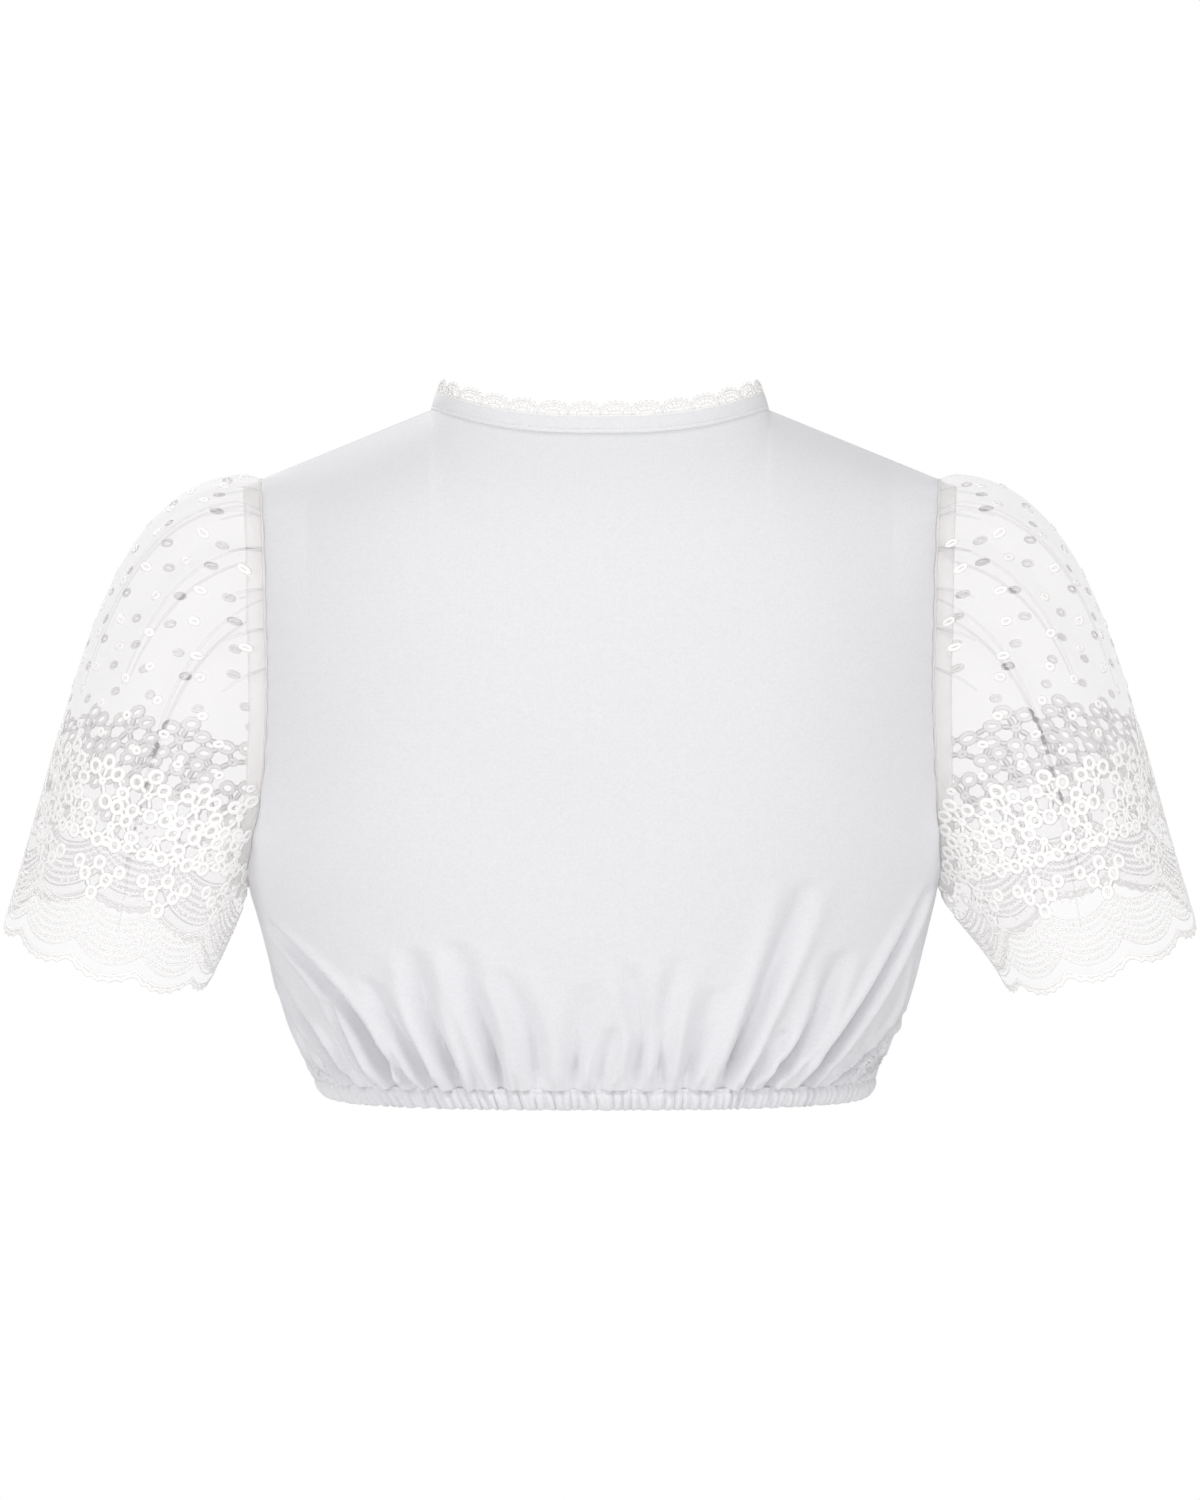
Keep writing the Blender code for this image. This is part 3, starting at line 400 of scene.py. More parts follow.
def together(parts):
    """Several (points, faces) pairs as one."""
    starts = np.cumsum([0] + [len(p) for p, _ in parts[:-1]])
    return np.concatenate([p for p, _ in parts]), np.concatenate([f + s for (_, f), s in zip(parts, starts)])


def make_piece(name, points, faces, material, slot, outward=None, weld=False):
    """A smooth mesh object from corner points in millimetres, its faces turned outwards, on the frame."""
    tri = points[faces[:, :3]]
    turned = np.cross(tri[:, 1] - tri[:, 0], tri[:, 2] - tri[:, 0])
    guide = tri.mean(axis=1) if outward is None else outward[faces[:, 0]]
    if np.einsum("ij,ij->", turned, guide) < 0:
        faces = faces[:, ::-1]
    mesh = bpy.data.meshes.new(name)
    mesh.from_pydata((points * MM).tolist(), [], faces.tolist())
    mesh.shade_smooth()
    mesh.materials.append(material)
    made = bpy.data.objects.new(name, mesh)
    bpy.context.scene.collection.objects.link(made)
    if weld:
        modifier = made.modifiers.new("Seam", "WELD")
        modifier.merge_threshold = 0.02 * MM
    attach(made, "root")
    return made


def thicken(piece, thickness):
    """Gives a sheet of cloth its thickness, on the inside."""
    modifier = piece.modifiers.new("Cloth", "SOLIDIFY")
    modifier.thickness, modifier.offset, modifier.use_even_offset = thickness * MM, -1.0, False
    return piece


def linear(code):
    """A colour's linear values from its sRGB hex code."""
    parts = [int(code[i : i + 2], 16) / 255 for i in (1, 3, 5)]
    return tuple(p / 12.92 if p <= 0.04045 else ((p + 0.055) / 1.055) ** 2.4 for p in parts)


def add_node(tree, kind, settings=None, links=()):
    """A node of this kind with its settings, by socket or property name, and its (socket, input) links."""
    node = tree.nodes.new(kind)
    for name, value in (settings or {}).items():
        if isinstance(name, int) or name in node.inputs:
            node.inputs[name].default_value = value
        else:
            setattr(node, name, value)
    for source, name in links:
        tree.links.new(source, node.inputs[name])
    return node


def band_scale(period):
    """The scale that gives a Wave texture bands of this period in millimetres."""
    return 2 * math.pi / 20 / (period * MM)


def cloth_material(name, colour, shade, roughness, weave, bump, sheen=0.25, alpha=1.0, painted_glow=0.0):
    """A cloth's finish: two shades in soft patches, and threads that cross each other as a bump.

    weave is the threads' pitch in millimetres. The last argument paints a faint white glow: an even emission
    that stands in for the light thin thread lets through.
    """
    found = bpy.data.materials.get(name)
    if found:
        return found
    material = bpy.data.materials.new(name)
    material.use_nodes = True
    tree = material.node_tree
    shader = tree.nodes["Principled BSDF"]
    where = add_node(tree, "ShaderNodeTexCoord").outputs["Object"]
    patches = add_node(
        tree, "ShaderNodeTexNoise", {"Scale": 700.0, "Detail": 2.0, "Roughness": 0.6}, [(where, "Vector")]
    )
    ramp = add_node(tree, "ShaderNodeValToRGB", None, [(patches.outputs["Fac"], "Fac")])
    ramp.color_ramp.elements[0].color = (*linear(shade), 1.0)
    ramp.color_ramp.elements[1].color = (*linear(colour), 1.0)
    ramp.color_ramp.elements[0].position, ramp.color_ramp.elements[1].position = 0.3, 0.62
    tree.links.new(ramp.outputs["Color"], shader.inputs["Base Color"])
    bands = [
        add_node(
            tree,
            "ShaderNodeTexWave",
            {"bands_direction": way, "Scale": band_scale(weave), "Distortion": 1.2, "Detail": 2.0},
            [(where, "Vector")],
        )
        for way in ("X", "Z")
    ]
    crossed = add_node(
        tree,
        "ShaderNodeMath",
        {"operation": "MAXIMUM"},
        [(bands[0].outputs["Fac"], 0), (bands[1].outputs["Fac"], 1)],
    )
    relief = add_node(
        tree,
        "ShaderNodeBump",
        {"Strength": bump, "Distance": 0.15 * MM},
        [(crossed.outputs[0], "Height")],
    )
    tree.links.new(relief.outputs["Normal"], shader.inputs["Normal"])
    settings = {"Roughness": roughness, "IOR": 1.5, "Metallic": 0.0, "Specular IOR Level": 0.25}
    settings.update({"Sheen Weight": sheen, "Sheen Roughness": 0.5, "Alpha": alpha})
    for socket, value in settings.items():
        shader.inputs[socket].default_value = value
    # Painted glow: an even white emission that brightens cloth lying in shade, as if light came through it
    shader.inputs["Emission Color"].default_value = (1.0, 1.0, 1.0, 1.0)
    shader.inputs["Emission Strength"].default_value = painted_glow
    return material


def fine_cotton(settings):
    """Bleached, plain-woven cotton lawn: matt, slightly cool, its slubs too fine to count from a step away."""
    # Its threads lie 0.25 mm apart, and are drawn at 1.1 mm so that they show
    return cloth_material("fine_cotton_lawn", settings.cotton_colour, settings.cotton_shade, 0.85, 1.1, 0.22)


def seam_cotton(settings):
    """The same cotton where it lies double, as in bindings, channels and allowances: a little denser."""
    return cloth_material("doubled_cotton", settings.cotton_colour, settings.cotton_shade, 0.85, 0.9, 0.2)


def tulle(settings):
    """Fine nylon tulle: a sheer net that greys what is behind it a little and shines at its folds."""
    # Its meshes are under 1 mm, far too fine to show, so the net is an even see-through film
    return cloth_material(
        "fine_tulle", settings.tulle_colour, settings.tulle_colour, 0.6, 1.6, 0.25, 0.4, settings.tulle_cover
    )


def satin_stitch(settings):
    """Rayon embroidery thread in satin stitch: raised, smooth and softly bright along its threads, with a
    faint painted glow.
    """
    # Its threads lie 0.3 mm apart, and are drawn at 0.7 mm so that they show
    # A faint painted glow lifts the thread where it lies in shade inside the sleeve
    return cloth_material(
        "satin_stitch_thread", settings.thread_colour, settings.thread_shade, 0.5, 0.7, 0.15, painted_glow=0.08
    )


def overlocked_tulle(settings):
    """Tulle and cotton gathered together in a seam and overlocked: half see-through, and softly white with a
    faint painted glow.
    """
    # A faint painted glow keeps the seam white where it lies in shade inside the sleeve
    return cloth_material(
        "overlocked_seam", settings.thread_colour, settings.thread_shade, 0.8, 1.2, 0.3, alpha=0.62, painted_glow=0.06
    )


def lace_thread(settings):
    """Twisted cotton lace thread: matt and slightly fuzzy."""
    return cloth_material("cotton_lace_thread", settings.thread_colour, settings.thread_shade, 0.8, 0.6, 0.4)


def panel_columns(count):
    """Shares across a panel, with one at its middle and at each neck point."""
    c = np.linspace(-1, 1, count)
    for mark in (-NECK_SHARE, 0.0, NECK_SHARE):
        c[np.abs(c - mark).argmin()] = mark
    return c


def panel_top(side, c):
    """How high each column of a panel reaches: the shoulder seam, or the neckline."""
    top = ARCH_Z + ARCH_RISE
    if side is BACK:
        return np.full(c.shape, top)
    inside = np.clip(np.abs(c) / NECK_SHARE, 0, 1) ** (1 / side.neckline_curve)
    return side.neckline_z + (top - side.neckline_z) * inside


def make_panel(name, side, folds, settings):
    """The back or the front: one cotton panel with all its gathers."""
    c = panel_columns(settings.panel_columns)
    up = np.linspace(0, 1, settings.panel_rows)[:, None] ** 1.45
    h = HEM_Z + 0.1 + (panel_top(side, c)[None] - HEM_Z - 0.1) * up
    c = np.broadcast_to(c[None], h.shape)
    normal = body_normal(side, c, h)
    form, near_edge = body_form(side, c, h), np.clip((0.985 - np.abs(c)) / 0.12, 0, 1)[1:-1, :, None]
    for _ in range(FORM_SMOOTHING):
        form[1:-1] += near_edge * ((form[:-2] + 2 * form[1:-1] + form[2:]) / 4 - form[1:-1])
        normal[1:-1] = unit(normal[:-2] + 2 * normal[1:-1] + normal[2:])
    calm = np.clip((1 - np.abs(c)) / CALM_SHARE, 0.12, 1)
    seamed = np.clip((ARCH_Z + ARCH_RISE - h) / SEAM_FADE, 0, 1)
    push = calm * (fold_depth(folds, c, h) + pleat_depth(side, c, h)) + seamed * ease_depth(side, c, h)
    points = form + normal * push[..., None]
    faces = grid_faces(*h.shape, False)
    panel = make_piece(
        name, points.reshape(-1, 3), faces, fine_cotton(settings), "cotton", normal.reshape(-1, 3)
    )
    return thicken(panel, settings.cotton_thickness)


def half_neckline():
    """The neckline from the foot of the V to the middle of the back: points, and ways out and up."""
    top = ARCH_Z + ARCH_RISE
    marks = [
        (FRONT, NECK_SHARE * r**FRONT.neckline_curve, FRONT.neckline_z + (top - FRONT.neckline_z) * r)
        for r in np.linspace(0, 1, 81)
    ]
    marks += [(BACK, NECK_SHARE * math.cos(t), top) for t in np.linspace(0, math.pi / 2, 61)[1:]]
    points = np.array([body_form(*m) for m in marks])
    normals = np.array([body_normal(*m) for m in marks])
    up = np.cross(normals, np.gradient(points, axis=0))
    for _ in range(NECK_SMOOTHING):
        normals[1:-1] = (normals[:-2] + 2 * normals[1:-1] + normals[2:]) / 4
        up[1:-1] = (up[:-2] + 2 * up[1:-1] + up[2:]) / 4
    normals[[0, -1], 0] = 0
    up[[0, -1], 0] = 0
    normals, up = unit(normals), unit(up)
    lean_in = NECK_LEAN_IN * np.exp(-(((points[:, 1:2] - NECK_Y) / 22) ** 2))
    stand = np.radians(NECK_STAND - lean_in) * np.clip(1 + points[:, 2:] / 60, 0, 1)
    way = np.cos(stand) * up + np.sin(stand) * normals
    return points, np.cos(stand) * normals - np.sin(stand) * up, way


def neck_edge(rise, steps):
    """A line all round the neck at this height on the binding, with the ways out and up there."""
    points, out, way = half_neckline()
    lift = NECK_POINT_LIFT * np.exp(-(((points[:, 1:2] - NECK_Y) / 8) ** 2))
    moved = points + way * (rise + lift)
    moved[-1, 0] = 0
    start = int(np.nonzero(moved[:, 0] < 0)[0].max()) + 1 if (moved[:, 0] < 0).any() else 0
    if start:
        share = moved[start, 0] / (moved[start, 0] - moved[start - 1, 0])
        moved[start - 1] = moved[start] + (moved[start - 1] - moved[start]) * share
        moved, out, way = moved[start - 1 :], out[start - 1 :], way[start - 1 :]
    reach = np.concatenate([[0], np.cumsum(np.linalg.norm(np.diff(moved, axis=0), axis=1))])
    at = np.linspace(0, reach[-1], steps + 1)
    half = [np.stack([np.interp(at, reach, v[:, k]) for k in range(3)], axis=1) for v in (moved, out, way)]
    for vectors in half:
        vectors[[0, -1], 0] = 0
    mirror = np.array([-1, 1, 1])
    return [np.concatenate([v, (v * mirror)[-2:0:-1]]) for v in half]


def armhole(side_x, angle):
    """Points of the armhole by angle round the sleeve: 0 at the shoulder tip, 180 under the arm."""
    oval = np.cos(np.linspace(math.pi / 2, 0, 60)) ** (2 / ARMHOLE_FULLNESS)
    upper = np.linspace(ARCH_Z + ARCH_RISE, ARCH_Z, 40)[:-1]
    heights = np.concatenate([upper, ARCH_Z - (ARCH_Z - UNDERARM_Z) * oval])
    angle = np.asarray(angle, float) % 360
    places = []
    for side in (BACK, FRONT):
        line = body_form(side, side_x, heights)
        reach = np.concatenate([[0], np.cumsum(np.linalg.norm(np.diff(line, axis=0), axis=1))])
        share = np.where(angle > 180, 360 - angle, angle) / 180
        places.append(np.stack([np.interp(share * reach[-1], reach, line[:, k]) for k in range(3)], axis=-1))
    return np.where((angle > 180)[..., None], places[1], places[0])


def round_sleeve(side_x, kind, angle):
    """The sleeve table's x, y and z of one kind, carried smoothly round the sleeve."""
    rows = list(SLEEVE)
    if side_x < 0:
        rows[2] = rows[2]._replace(hem_x=rows[2].hem_x + UNDER_OUT_RIGHT)
        rows[3] = rows[3]._replace(hem_z=rows[3].hem_z + FRONT_LIFT_RIGHT)
    top, back, under, front = (
        np.array([getattr(r, f"{kind}_x") * side_x, getattr(r, f"{kind}_y"), getattr(r, f"{kind}_z")], float)
        for r in rows
    )
    turn = np.radians(np.asarray(angle, float))[..., None]
    mean, second = (top + back + under + front) / 4, (top - back + under - front) / 4
    first = (top - under) / 2 * np.cos(turn) + (back - front) / 2 * np.sin(turn)
    return mean + first + second * np.cos(2 * turn)


def sleeve_lines(side_x, angle):
    """Each angle's line from the armhole to the hem, and the lengths along it."""
    t = np.linspace(0, 1, 49)[:, None]
    start, leave = armhole(side_x, angle)[:, None], round_sleeve(side_x, "leave", angle)[:, None]
    end, arrive = round_sleeve(side_x, "hem", angle)[:, None], round_sleeve(side_x, "arrive", angle)[:, None]
    line = (1 + 2 * t) * (1 - t) ** 2 * start + t * (1 - t) ** 2 * leave
    line = line + t * t * (3 - 2 * t) * end + t * t * (t - 1) * arrive
    span = np.linalg.norm(np.diff(line, axis=1), axis=2)
    return line, np.concatenate([np.zeros((len(angle), 1)), np.cumsum(span, axis=1)], axis=1)


def gather_depth(angle, below):
    """How far the gathered head and its long folds lift the sleeve's cloth, this far below the armhole."""
    signed = (angle + 180) % 360 - 180
    held = np.clip(1 - np.abs(signed / CAP_GATHER_REACH) ** 4, 0, 1)
    swell = np.clip(below / 9, 0, 1) * np.clip(1 - below / CAP_GATHER_LENGTH, 0, 1)
    wave = 0.5 + 0.5 * np.cos(signed / CAP_GATHER_REACH * CAP_GATHERS * math.pi)
    lift = CAP_GATHER_DEPTH * held * swell * wave
    for fold in SLEEVE_FOLDS:
        along = np.clip(below / fold.reach, 0, 1)
        line = fold.start_angle + (fold.end_angle - fold.start_angle) * along
        off = (signed - line) * SLEEVE_GIRTH / 360 / fold.width
        shape = np.exp(-off * off) - 0.5 * np.exp(-((off - 1.6) ** 2))
        lift += fold.depth * shape * np.clip(below / 14, 0, 1) * (1 - along) ** 0.8
    return lift


class SleeveCloth:
    """One sleeve's cloth as a map from (girth, rise) to points, with the ways out of it."""

    RISE_STEP = 1.5
    RISES = np.arange(-4.0, 322.0, RISE_STEP)
    ANGLES = np.arange(-180.0, 181.0, 1.0)

    def __init__(self, side_x):
        line, reach = sleeve_lines(side_x, self.ANGLES)
        self.reach = reach[:, -1]
        at = self.reach[:, None] - self.RISES[None]
        form = np.stack(
            [[np.interp(a, r, p[:, k]) for a, r, p in zip(at, reach, line)] for k in range(3)], axis=-1
        )
        past = unit(line[:, -1] - line[:, -2])[:, None] * np.maximum(-self.RISES, 0)[None, :, None]
        form = form + past
        round_it = np.gradient(form, axis=0)
        round_it[[0, -1]] = round_it[1] + round_it[-2]
        low = np.minimum(self.RISES[None], self.reach[:, None] - 4)
        up = np.gradient(form, axis=1)
        index = np.clip(((low - self.RISES[0]) / self.RISE_STEP).astype(int), 0, len(self.RISES) - 1)
        out = unit(np.cross(round_it, up)) * side_x
        out = np.take_along_axis(out, index[..., None], axis=1)
        below = self.reach[:, None] - self.RISES[None]
        lift = gather_depth(self.ANGLES[:, None], below)
        self.form, self.out = form + out * lift[..., None], out

    def length(self, girth):
        """The cloth's length from hem to armhole at this place round the sleeve."""
        return np.interp(girth * 360 / SLEEVE_GIRTH, self.ANGLES, self.reach)

    def at(self, girth, rise):
        """Points on the cloth and the ways out of it."""
        a = np.clip((girth * 360 / SLEEVE_GIRTH + 180) % 360, 0, 359.999)
        r = np.clip((rise - self.RISES[0]) / self.RISE_STEP, 0, len(self.RISES) - 1.001)
        i, j = a.astype(int), r.astype(int)
        u, v = (a - i)[..., None], (r - j)[..., None]
        found = []
        for grid in (self.form, self.out):
            low = grid[i, j] * (1 - u) + grid[i + 1, j] * u
            high = grid[i, j + 1] * (1 - u) + grid[i + 1, j + 1] * u
            found.append(low * (1 - v) + high * v)
        return found


def scallop(girth):
    """The hem's outline: how far above its lowest line the cloth ends."""
    return SCALLOP_RISE * (1 - np.abs(np.sin(girth * math.pi * HEM_SCALLOPS / SLEEVE_GIRTH)) ** 0.8)


def jagged(girth):
    """The scalloped hem with its small points."""
    return scallop(girth) + 1.3 * np.abs(np.sin(girth * math.pi * 6 / JOINT_PITCH)) - 0.4


Eyelet = namedtuple("Eyelet", "girth rise long wide turn rim cut")


def eyelet_plan(cloth):
    """Every eyelet of a sleeve's border that has room, largest first, over (girth, rise)."""
    rng = np.random.default_rng(SEED + 7)
    wanted = []
    # Flowers in two staggered rows, each with six petals and a small middle
    for k in range(FLOWERS):
        for row, shift in ((TOP_ROW, 0.5), (SECOND_ROW, 1.0)):
            centre = (k + shift) * FLOWER_PITCH
            for across, up in PETALS:
                wanted.append((centre + across, row + up, 3.2, 2.85, math.atan2(up, across), 1.4))
            wanted.append((centre, row, 1.5, 1.5, 0, 1.3))
    # A cluster over each point where two scallops join
    for k in range(HEM_SCALLOPS):
        joint = k * JOINT_PITCH
        for across, up in ((0, 60), (-6.5, 51.5), (6.5, 51.5), (-12.5, 57), (12.5, 57), (0, 43.5)):
            wanted.append((joint + across, up, 3.1, 2.7, math.pi / 2, 1.35))
    # Rows that fill the band between the clusters and the flowers
    for k in range(3 * HEM_SCALLOPS):
        wanted.append(((k + 0.5) * JOINT_PITCH / 3, 65.5, 2.9, 2.6, math.pi / 2, 1.25))
        wanted.append((k * JOINT_PITCH / 3, 71.0, 2.2, 2.0, 0, 1.2))
    found, places = [], np.zeros((0, 2))
    for girth, rise, long, wide, turn, rim in wanted:
        girth = (girth + SLEEVE_GIRTH / 2) % SLEEVE_GIRTH - SLEEVE_GIRTH / 2
        girth, rise = girth + rng.uniform(-0.5, 0.5), rise + rng.uniform(-0.5, 0.5)
        turn += rng.uniform(-0.3, 0.3)
        grown = rng.uniform(0.92, 1.06)
        if rise > cloth.length(girth) - 5 or abs(girth) > SLEEVE_GIRTH / 2 - 5:
            continue
        gap = np.abs(places - (girth, rise))
        if len(places) and np.hypot(gap[:, 0], gap[:, 1]).min() < long + wide:
            continue
        places = np.vstack([places, (girth, rise)])
        found.append(Eyelet(girth, rise, long * grown, wide * grown, turn, rim, long > 2.6))
    return found


def dot_plan(cloth):
    """The small ring dots scattered over the plain tulle, in staggered rows."""
    rng, found = np.random.default_rng(SEED + 8), []
    for row in range(DOT_ROWS):
        rise = DOT_START + row * DOT_ROW
        for k in range(DOT_COLUMNS):
            girth = (k + 0.5 * (row % 2)) * SLEEVE_GIRTH / DOT_COLUMNS - SLEEVE_GIRTH / 2 + 4
            girth, high = girth + rng.uniform(-3, 3), rise + rng.uniform(-3, 3)
            if high < cloth.length(girth) - 8 and abs(girth) < SLEEVE_GIRTH / 2 - 4:
                turn = rng.uniform(0, 3)
                found.append(Eyelet(girth, high, 1.85, 1.6, turn, 1.0, False))
    return found


def oval(eyelet, steps, shrink=0.0):
    """An eyelet's outline over (girth, rise), along the middle of its rim."""
    t = np.arange(steps) * 2 * math.pi / steps
    along, across = (eyelet.long - shrink) * np.cos(t), (eyelet.wide - shrink) * np.sin(t)
    cos, sin = math.cos(eyelet.turn), math.sin(eyelet.turn)
    girth = eyelet.girth + along * cos - across * sin
    return np.stack([girth, eyelet.rise + along * sin + across * cos], axis=-1)


def inside_outline(points, outline):
    """True for each point inside a closed outline."""
    x, y = points[:, :1], points[:, 1:]
    a, b = outline, np.roll(outline, -1, axis=0)
    spans = (a[:, 1] > y) != (b[:, 1] > y)
    rise = np.where(b[:, 1] == a[:, 1], 1e-9, b[:, 1] - a[:, 1])
    crossing = (b[:, 0] - a[:, 0]) * (y - a[:, 1]) / rise + a[:, 0]
    return (spans & (x < crossing)).sum(axis=1) % 2 == 1


def cut_cloth(outline, holes, filling):
    """Corners and triangles of a flat piece: its outline, less the holes, over the filling's points."""
    points, edges = [], []
    for loop in (outline, *holes):
        start = len(points)
        points.extend(loop)
        edges.extend((start + i, start + (i + 1) % len(loop)) for i in range(len(loop)))
    points.extend(filling)
    found = delaunay_2d_cdt([Vector(p) for p in points], edges, [], 0, 1e-7)
    corners = np.array([tuple(v) for v in found[0]])
    triangles = np.array([f for f in found[2]])
    centres = corners[triangles].mean(axis=1)
    keep = inside_outline(centres, np.asarray(outline))
    for hole in holes:
        middle = hole.mean(axis=0)
        near = np.nonzero(np.abs(centres - middle).max(axis=1) < 6)[0]
        keep[near] &= ~inside_outline(centres[near], hole)
    return corners, triangles[keep]


def sleeve_pattern(cloth, eyelets):
    """The sleeve's flat piece, seam under the arm: outline, holes and the points that fill it."""
    half = SLEEVE_GIRTH / 2
    hem_x = np.linspace(-half, half, 391)
    outline = [(x, jagged(x)) for x in hem_x]
    reach = cloth.length(half) + 0.05
    side = np.linspace(jagged(half), reach, 22)[1:-1]
    cap_x = np.linspace(half, -half, 261)
    cap = [(x, cloth.length(x) + 0.05) for x in cap_x]
    outline = np.array(outline + [(half, r) for r in side] + cap + [(-half, r) for r in side[::-1]])
    holes = [oval(e, 10, 0.35) for e in eyelets if e.cut]
    columns = np.arange(-half + 2, half - 1, 2.6)
    fill = [(x + 0.65 * (-1) ** j, r) for j, r in enumerate(np.arange(9, 300, 2.9)) for x in columns]
    fill = np.array([p for p in fill if p[1] < cloth.length(p[0]) - 1.5])
    keep = np.ones(len(fill), bool)
    for e in eyelets:
        if e.cut:
            keep &= np.hypot(fill[:, 0] - e.girth, fill[:, 1] - e.rise) > e.long + 0.6
    return outline, holes, fill[keep]


def polygon_area(outline):
    """The area inside a closed outline."""
    x, y = outline[:, 0], outline[:, 1]
    return abs(np.dot(x, np.roll(y, -1)) - np.dot(y, np.roll(x, -1))) / 2


def on_cloth(cloth, flat, lift):
    """Lines of (girth, rise) points laid on the cloth, raised by lift, with the ways out of it."""
    points, out = cloth.at(flat[..., 0], flat[..., 1])
    return points + out * lift, out


def pleat_strips(cloth):
    """Where the tulle lies double: strips behind each long fold and each gather of the head."""
    lines = []
    for fold in SLEEVE_FOLDS:
        along = np.linspace(0.01, 1.0, STRIP_STEPS)
        angle = fold.start_angle + (fold.end_angle - fold.start_angle) * along
        lines.append((angle * SLEEVE_GIRTH / 360, along * fold.reach))
    gather = CAP_GATHER_REACH / CAP_GATHERS * 2
    rng = np.random.default_rng(SEED + 9)
    for k in range(-6, 7):
        below = np.linspace(1, rng.uniform(12, 34), STRIP_STEPS)
        angle = (k + 0.1) * gather + below * rng.uniform(-0.03, 0.03)
        lines.append((angle * SLEEVE_GIRTH / 360, below))
    flat = np.array([np.stack([g, cloth.length(g) - b], axis=-1) for g, b in lines])
    points, out = on_cloth(cloth, flat, -0.7)
    taper = np.sin(np.linspace(0.12, 0.93, STRIP_STEPS) * math.pi) ** 0.5
    return cords(points, out, 1.0 * taper, 0.12, 4, False)


def make_sleeve(word, side_x, settings):
    """One sleeve's tulle: a sheer shell with every large eyelet cut through, and its doubled pleats."""
    cloth = SleeveCloth(side_x)
    eyelets = eyelet_plan(cloth)
    outline, holes, fill = sleeve_pattern(cloth, eyelets)
    flat, triangles = cut_cloth(outline, holes, fill)
    points, out = cloth.at(np.clip(flat[:, 0], -SLEEVE_GIRTH / 2, SLEEVE_GIRTH / 2 - 1e-6), flat[:, 1])
    shell = make_piece(
        f"tulle_sleeve_{word}", points, triangles, tulle(settings), "tulle", out, weld=True
    )
    strips = make_piece(f"tulle_pleats_{word}", *pleat_strips(cloth), tulle(settings), "tulle")
    thicken(shell, settings.tulle_thickness)
    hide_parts(f"sleeve_{word}_back", f"sleeve_{word}_front")
    return shell, strips, cloth, eyelets, polygon_area(outline)


def rims(cloth, eyelets, steps, sides, height):
    """Satin-stitched rims round eyelets."""
    flat = np.array([oval(e, steps) for e in eyelets])
    points, out = on_cloth(cloth, flat, height * 0.35)
    wide = np.array([e.rim for e in eyelets])[:, None]
    return cords(points, out, wide, height, sides, True)


def border_arcs(cloth):
    """Rows of tiny eyelets in arcs above each scallop, and the fine line under them."""
    rings, lines = [], []
    half = JOINT_PITCH / 2
    for k in range(HEM_SCALLOPS):
        centre = (k + 0.5) * JOINT_PITCH - SLEEVE_GIRTH / 2
        for row in range(ARC_ROWS):
            for u in np.linspace(-half + 1.2, half - 1.2, ARC_RINGS):
                rise = 12.5 + ARC_PITCH * row + 9 * abs(u / half) ** 2.2
                rings.append(Eyelet(centre + u, rise, 0.95, 0.8, 0.0, 0.42, False))
        u = np.linspace(-half, half, 30)
        for rise in (9.5, 34.6):
            lines.append(np.stack([centre + u, rise + 9 * np.abs(u / half) ** 2.2], axis=-1))
        for u in np.arange(-12, 13, 4.0):
            for row in range(2):
                place = Eyelet(centre + u + 2 * row, 43 + 5 * row + abs(u) * 0.4, 0.7, 0.6, 0.0, 0.4, False)
                rings.append(place)
    points, out = on_cloth(cloth, np.array(lines), 0.15)
    return [rims(cloth, rings, 7, 4, 0.25), cords(points, out, 0.5, 0.25, 4, False)]


def stems(cloth, eyelets):
    """Short satin bars that join each flower's middle to its petals, and neighbouring eyelets."""
    bars = []
    places = np.array([(e.girth, e.rise) for e in eyelets])
    for i, e in enumerate(eyelets):
        gap = np.hypot(*(places - places[i]).T)
        for j in np.nonzero((gap > 6.5) & (gap < 11.4))[0]:
            if j > i:
                way = (places[j] - places[i]) / gap[j]
                start, end = places[i] + way * (e.long + 0.3), places[j] - way * (eyelets[j].long + 0.3)
                if np.dot(end - start, way) > 0.8:
                    bars.append(start + (end - start) * np.linspace(0, 1, 4)[:, None])
    points, out = on_cloth(cloth, np.array(bars), 0.12)
    return cords(points, out, np.array([0.9, 1.6, 1.6, 0.9]), 0.22, 4, False)


def hem_edge(cloth):
    """The thick stitched edge along the jagged scallops."""
    girth = np.linspace(-SLEEVE_GIRTH / 2, SLEEVE_GIRTH / 2, 781)[:-1]
    edge = np.stack([girth, jagged(girth) + 0.5], axis=-1)[None]
    inner = np.stack([girth, scallop(girth) + 3.2], axis=-1)[None]
    made = []
    for flat, wide, high in ((edge, 1.1, 0.4), (inner, 0.7, 0.3)):
        points, out = on_cloth(cloth, flat, 0.0)
        made.append(cords(points, out, wide, high, 6, True))
    return made


def make_embroidery(word, cloth, eyelets, settings):
    """The stitched border of one sleeve, and the ring dots above it."""
    parts = [rims(cloth, eyelets, 16, 6, 0.32), rims(cloth, dot_plan(cloth), 10, 6, 0.32)]
    parts += border_arcs(cloth) + [stems(cloth, eyelets)] + hem_edge(cloth)
    return make_piece(f"embroidery_{word}", *together(parts), satin_stitch(settings), "tulle")


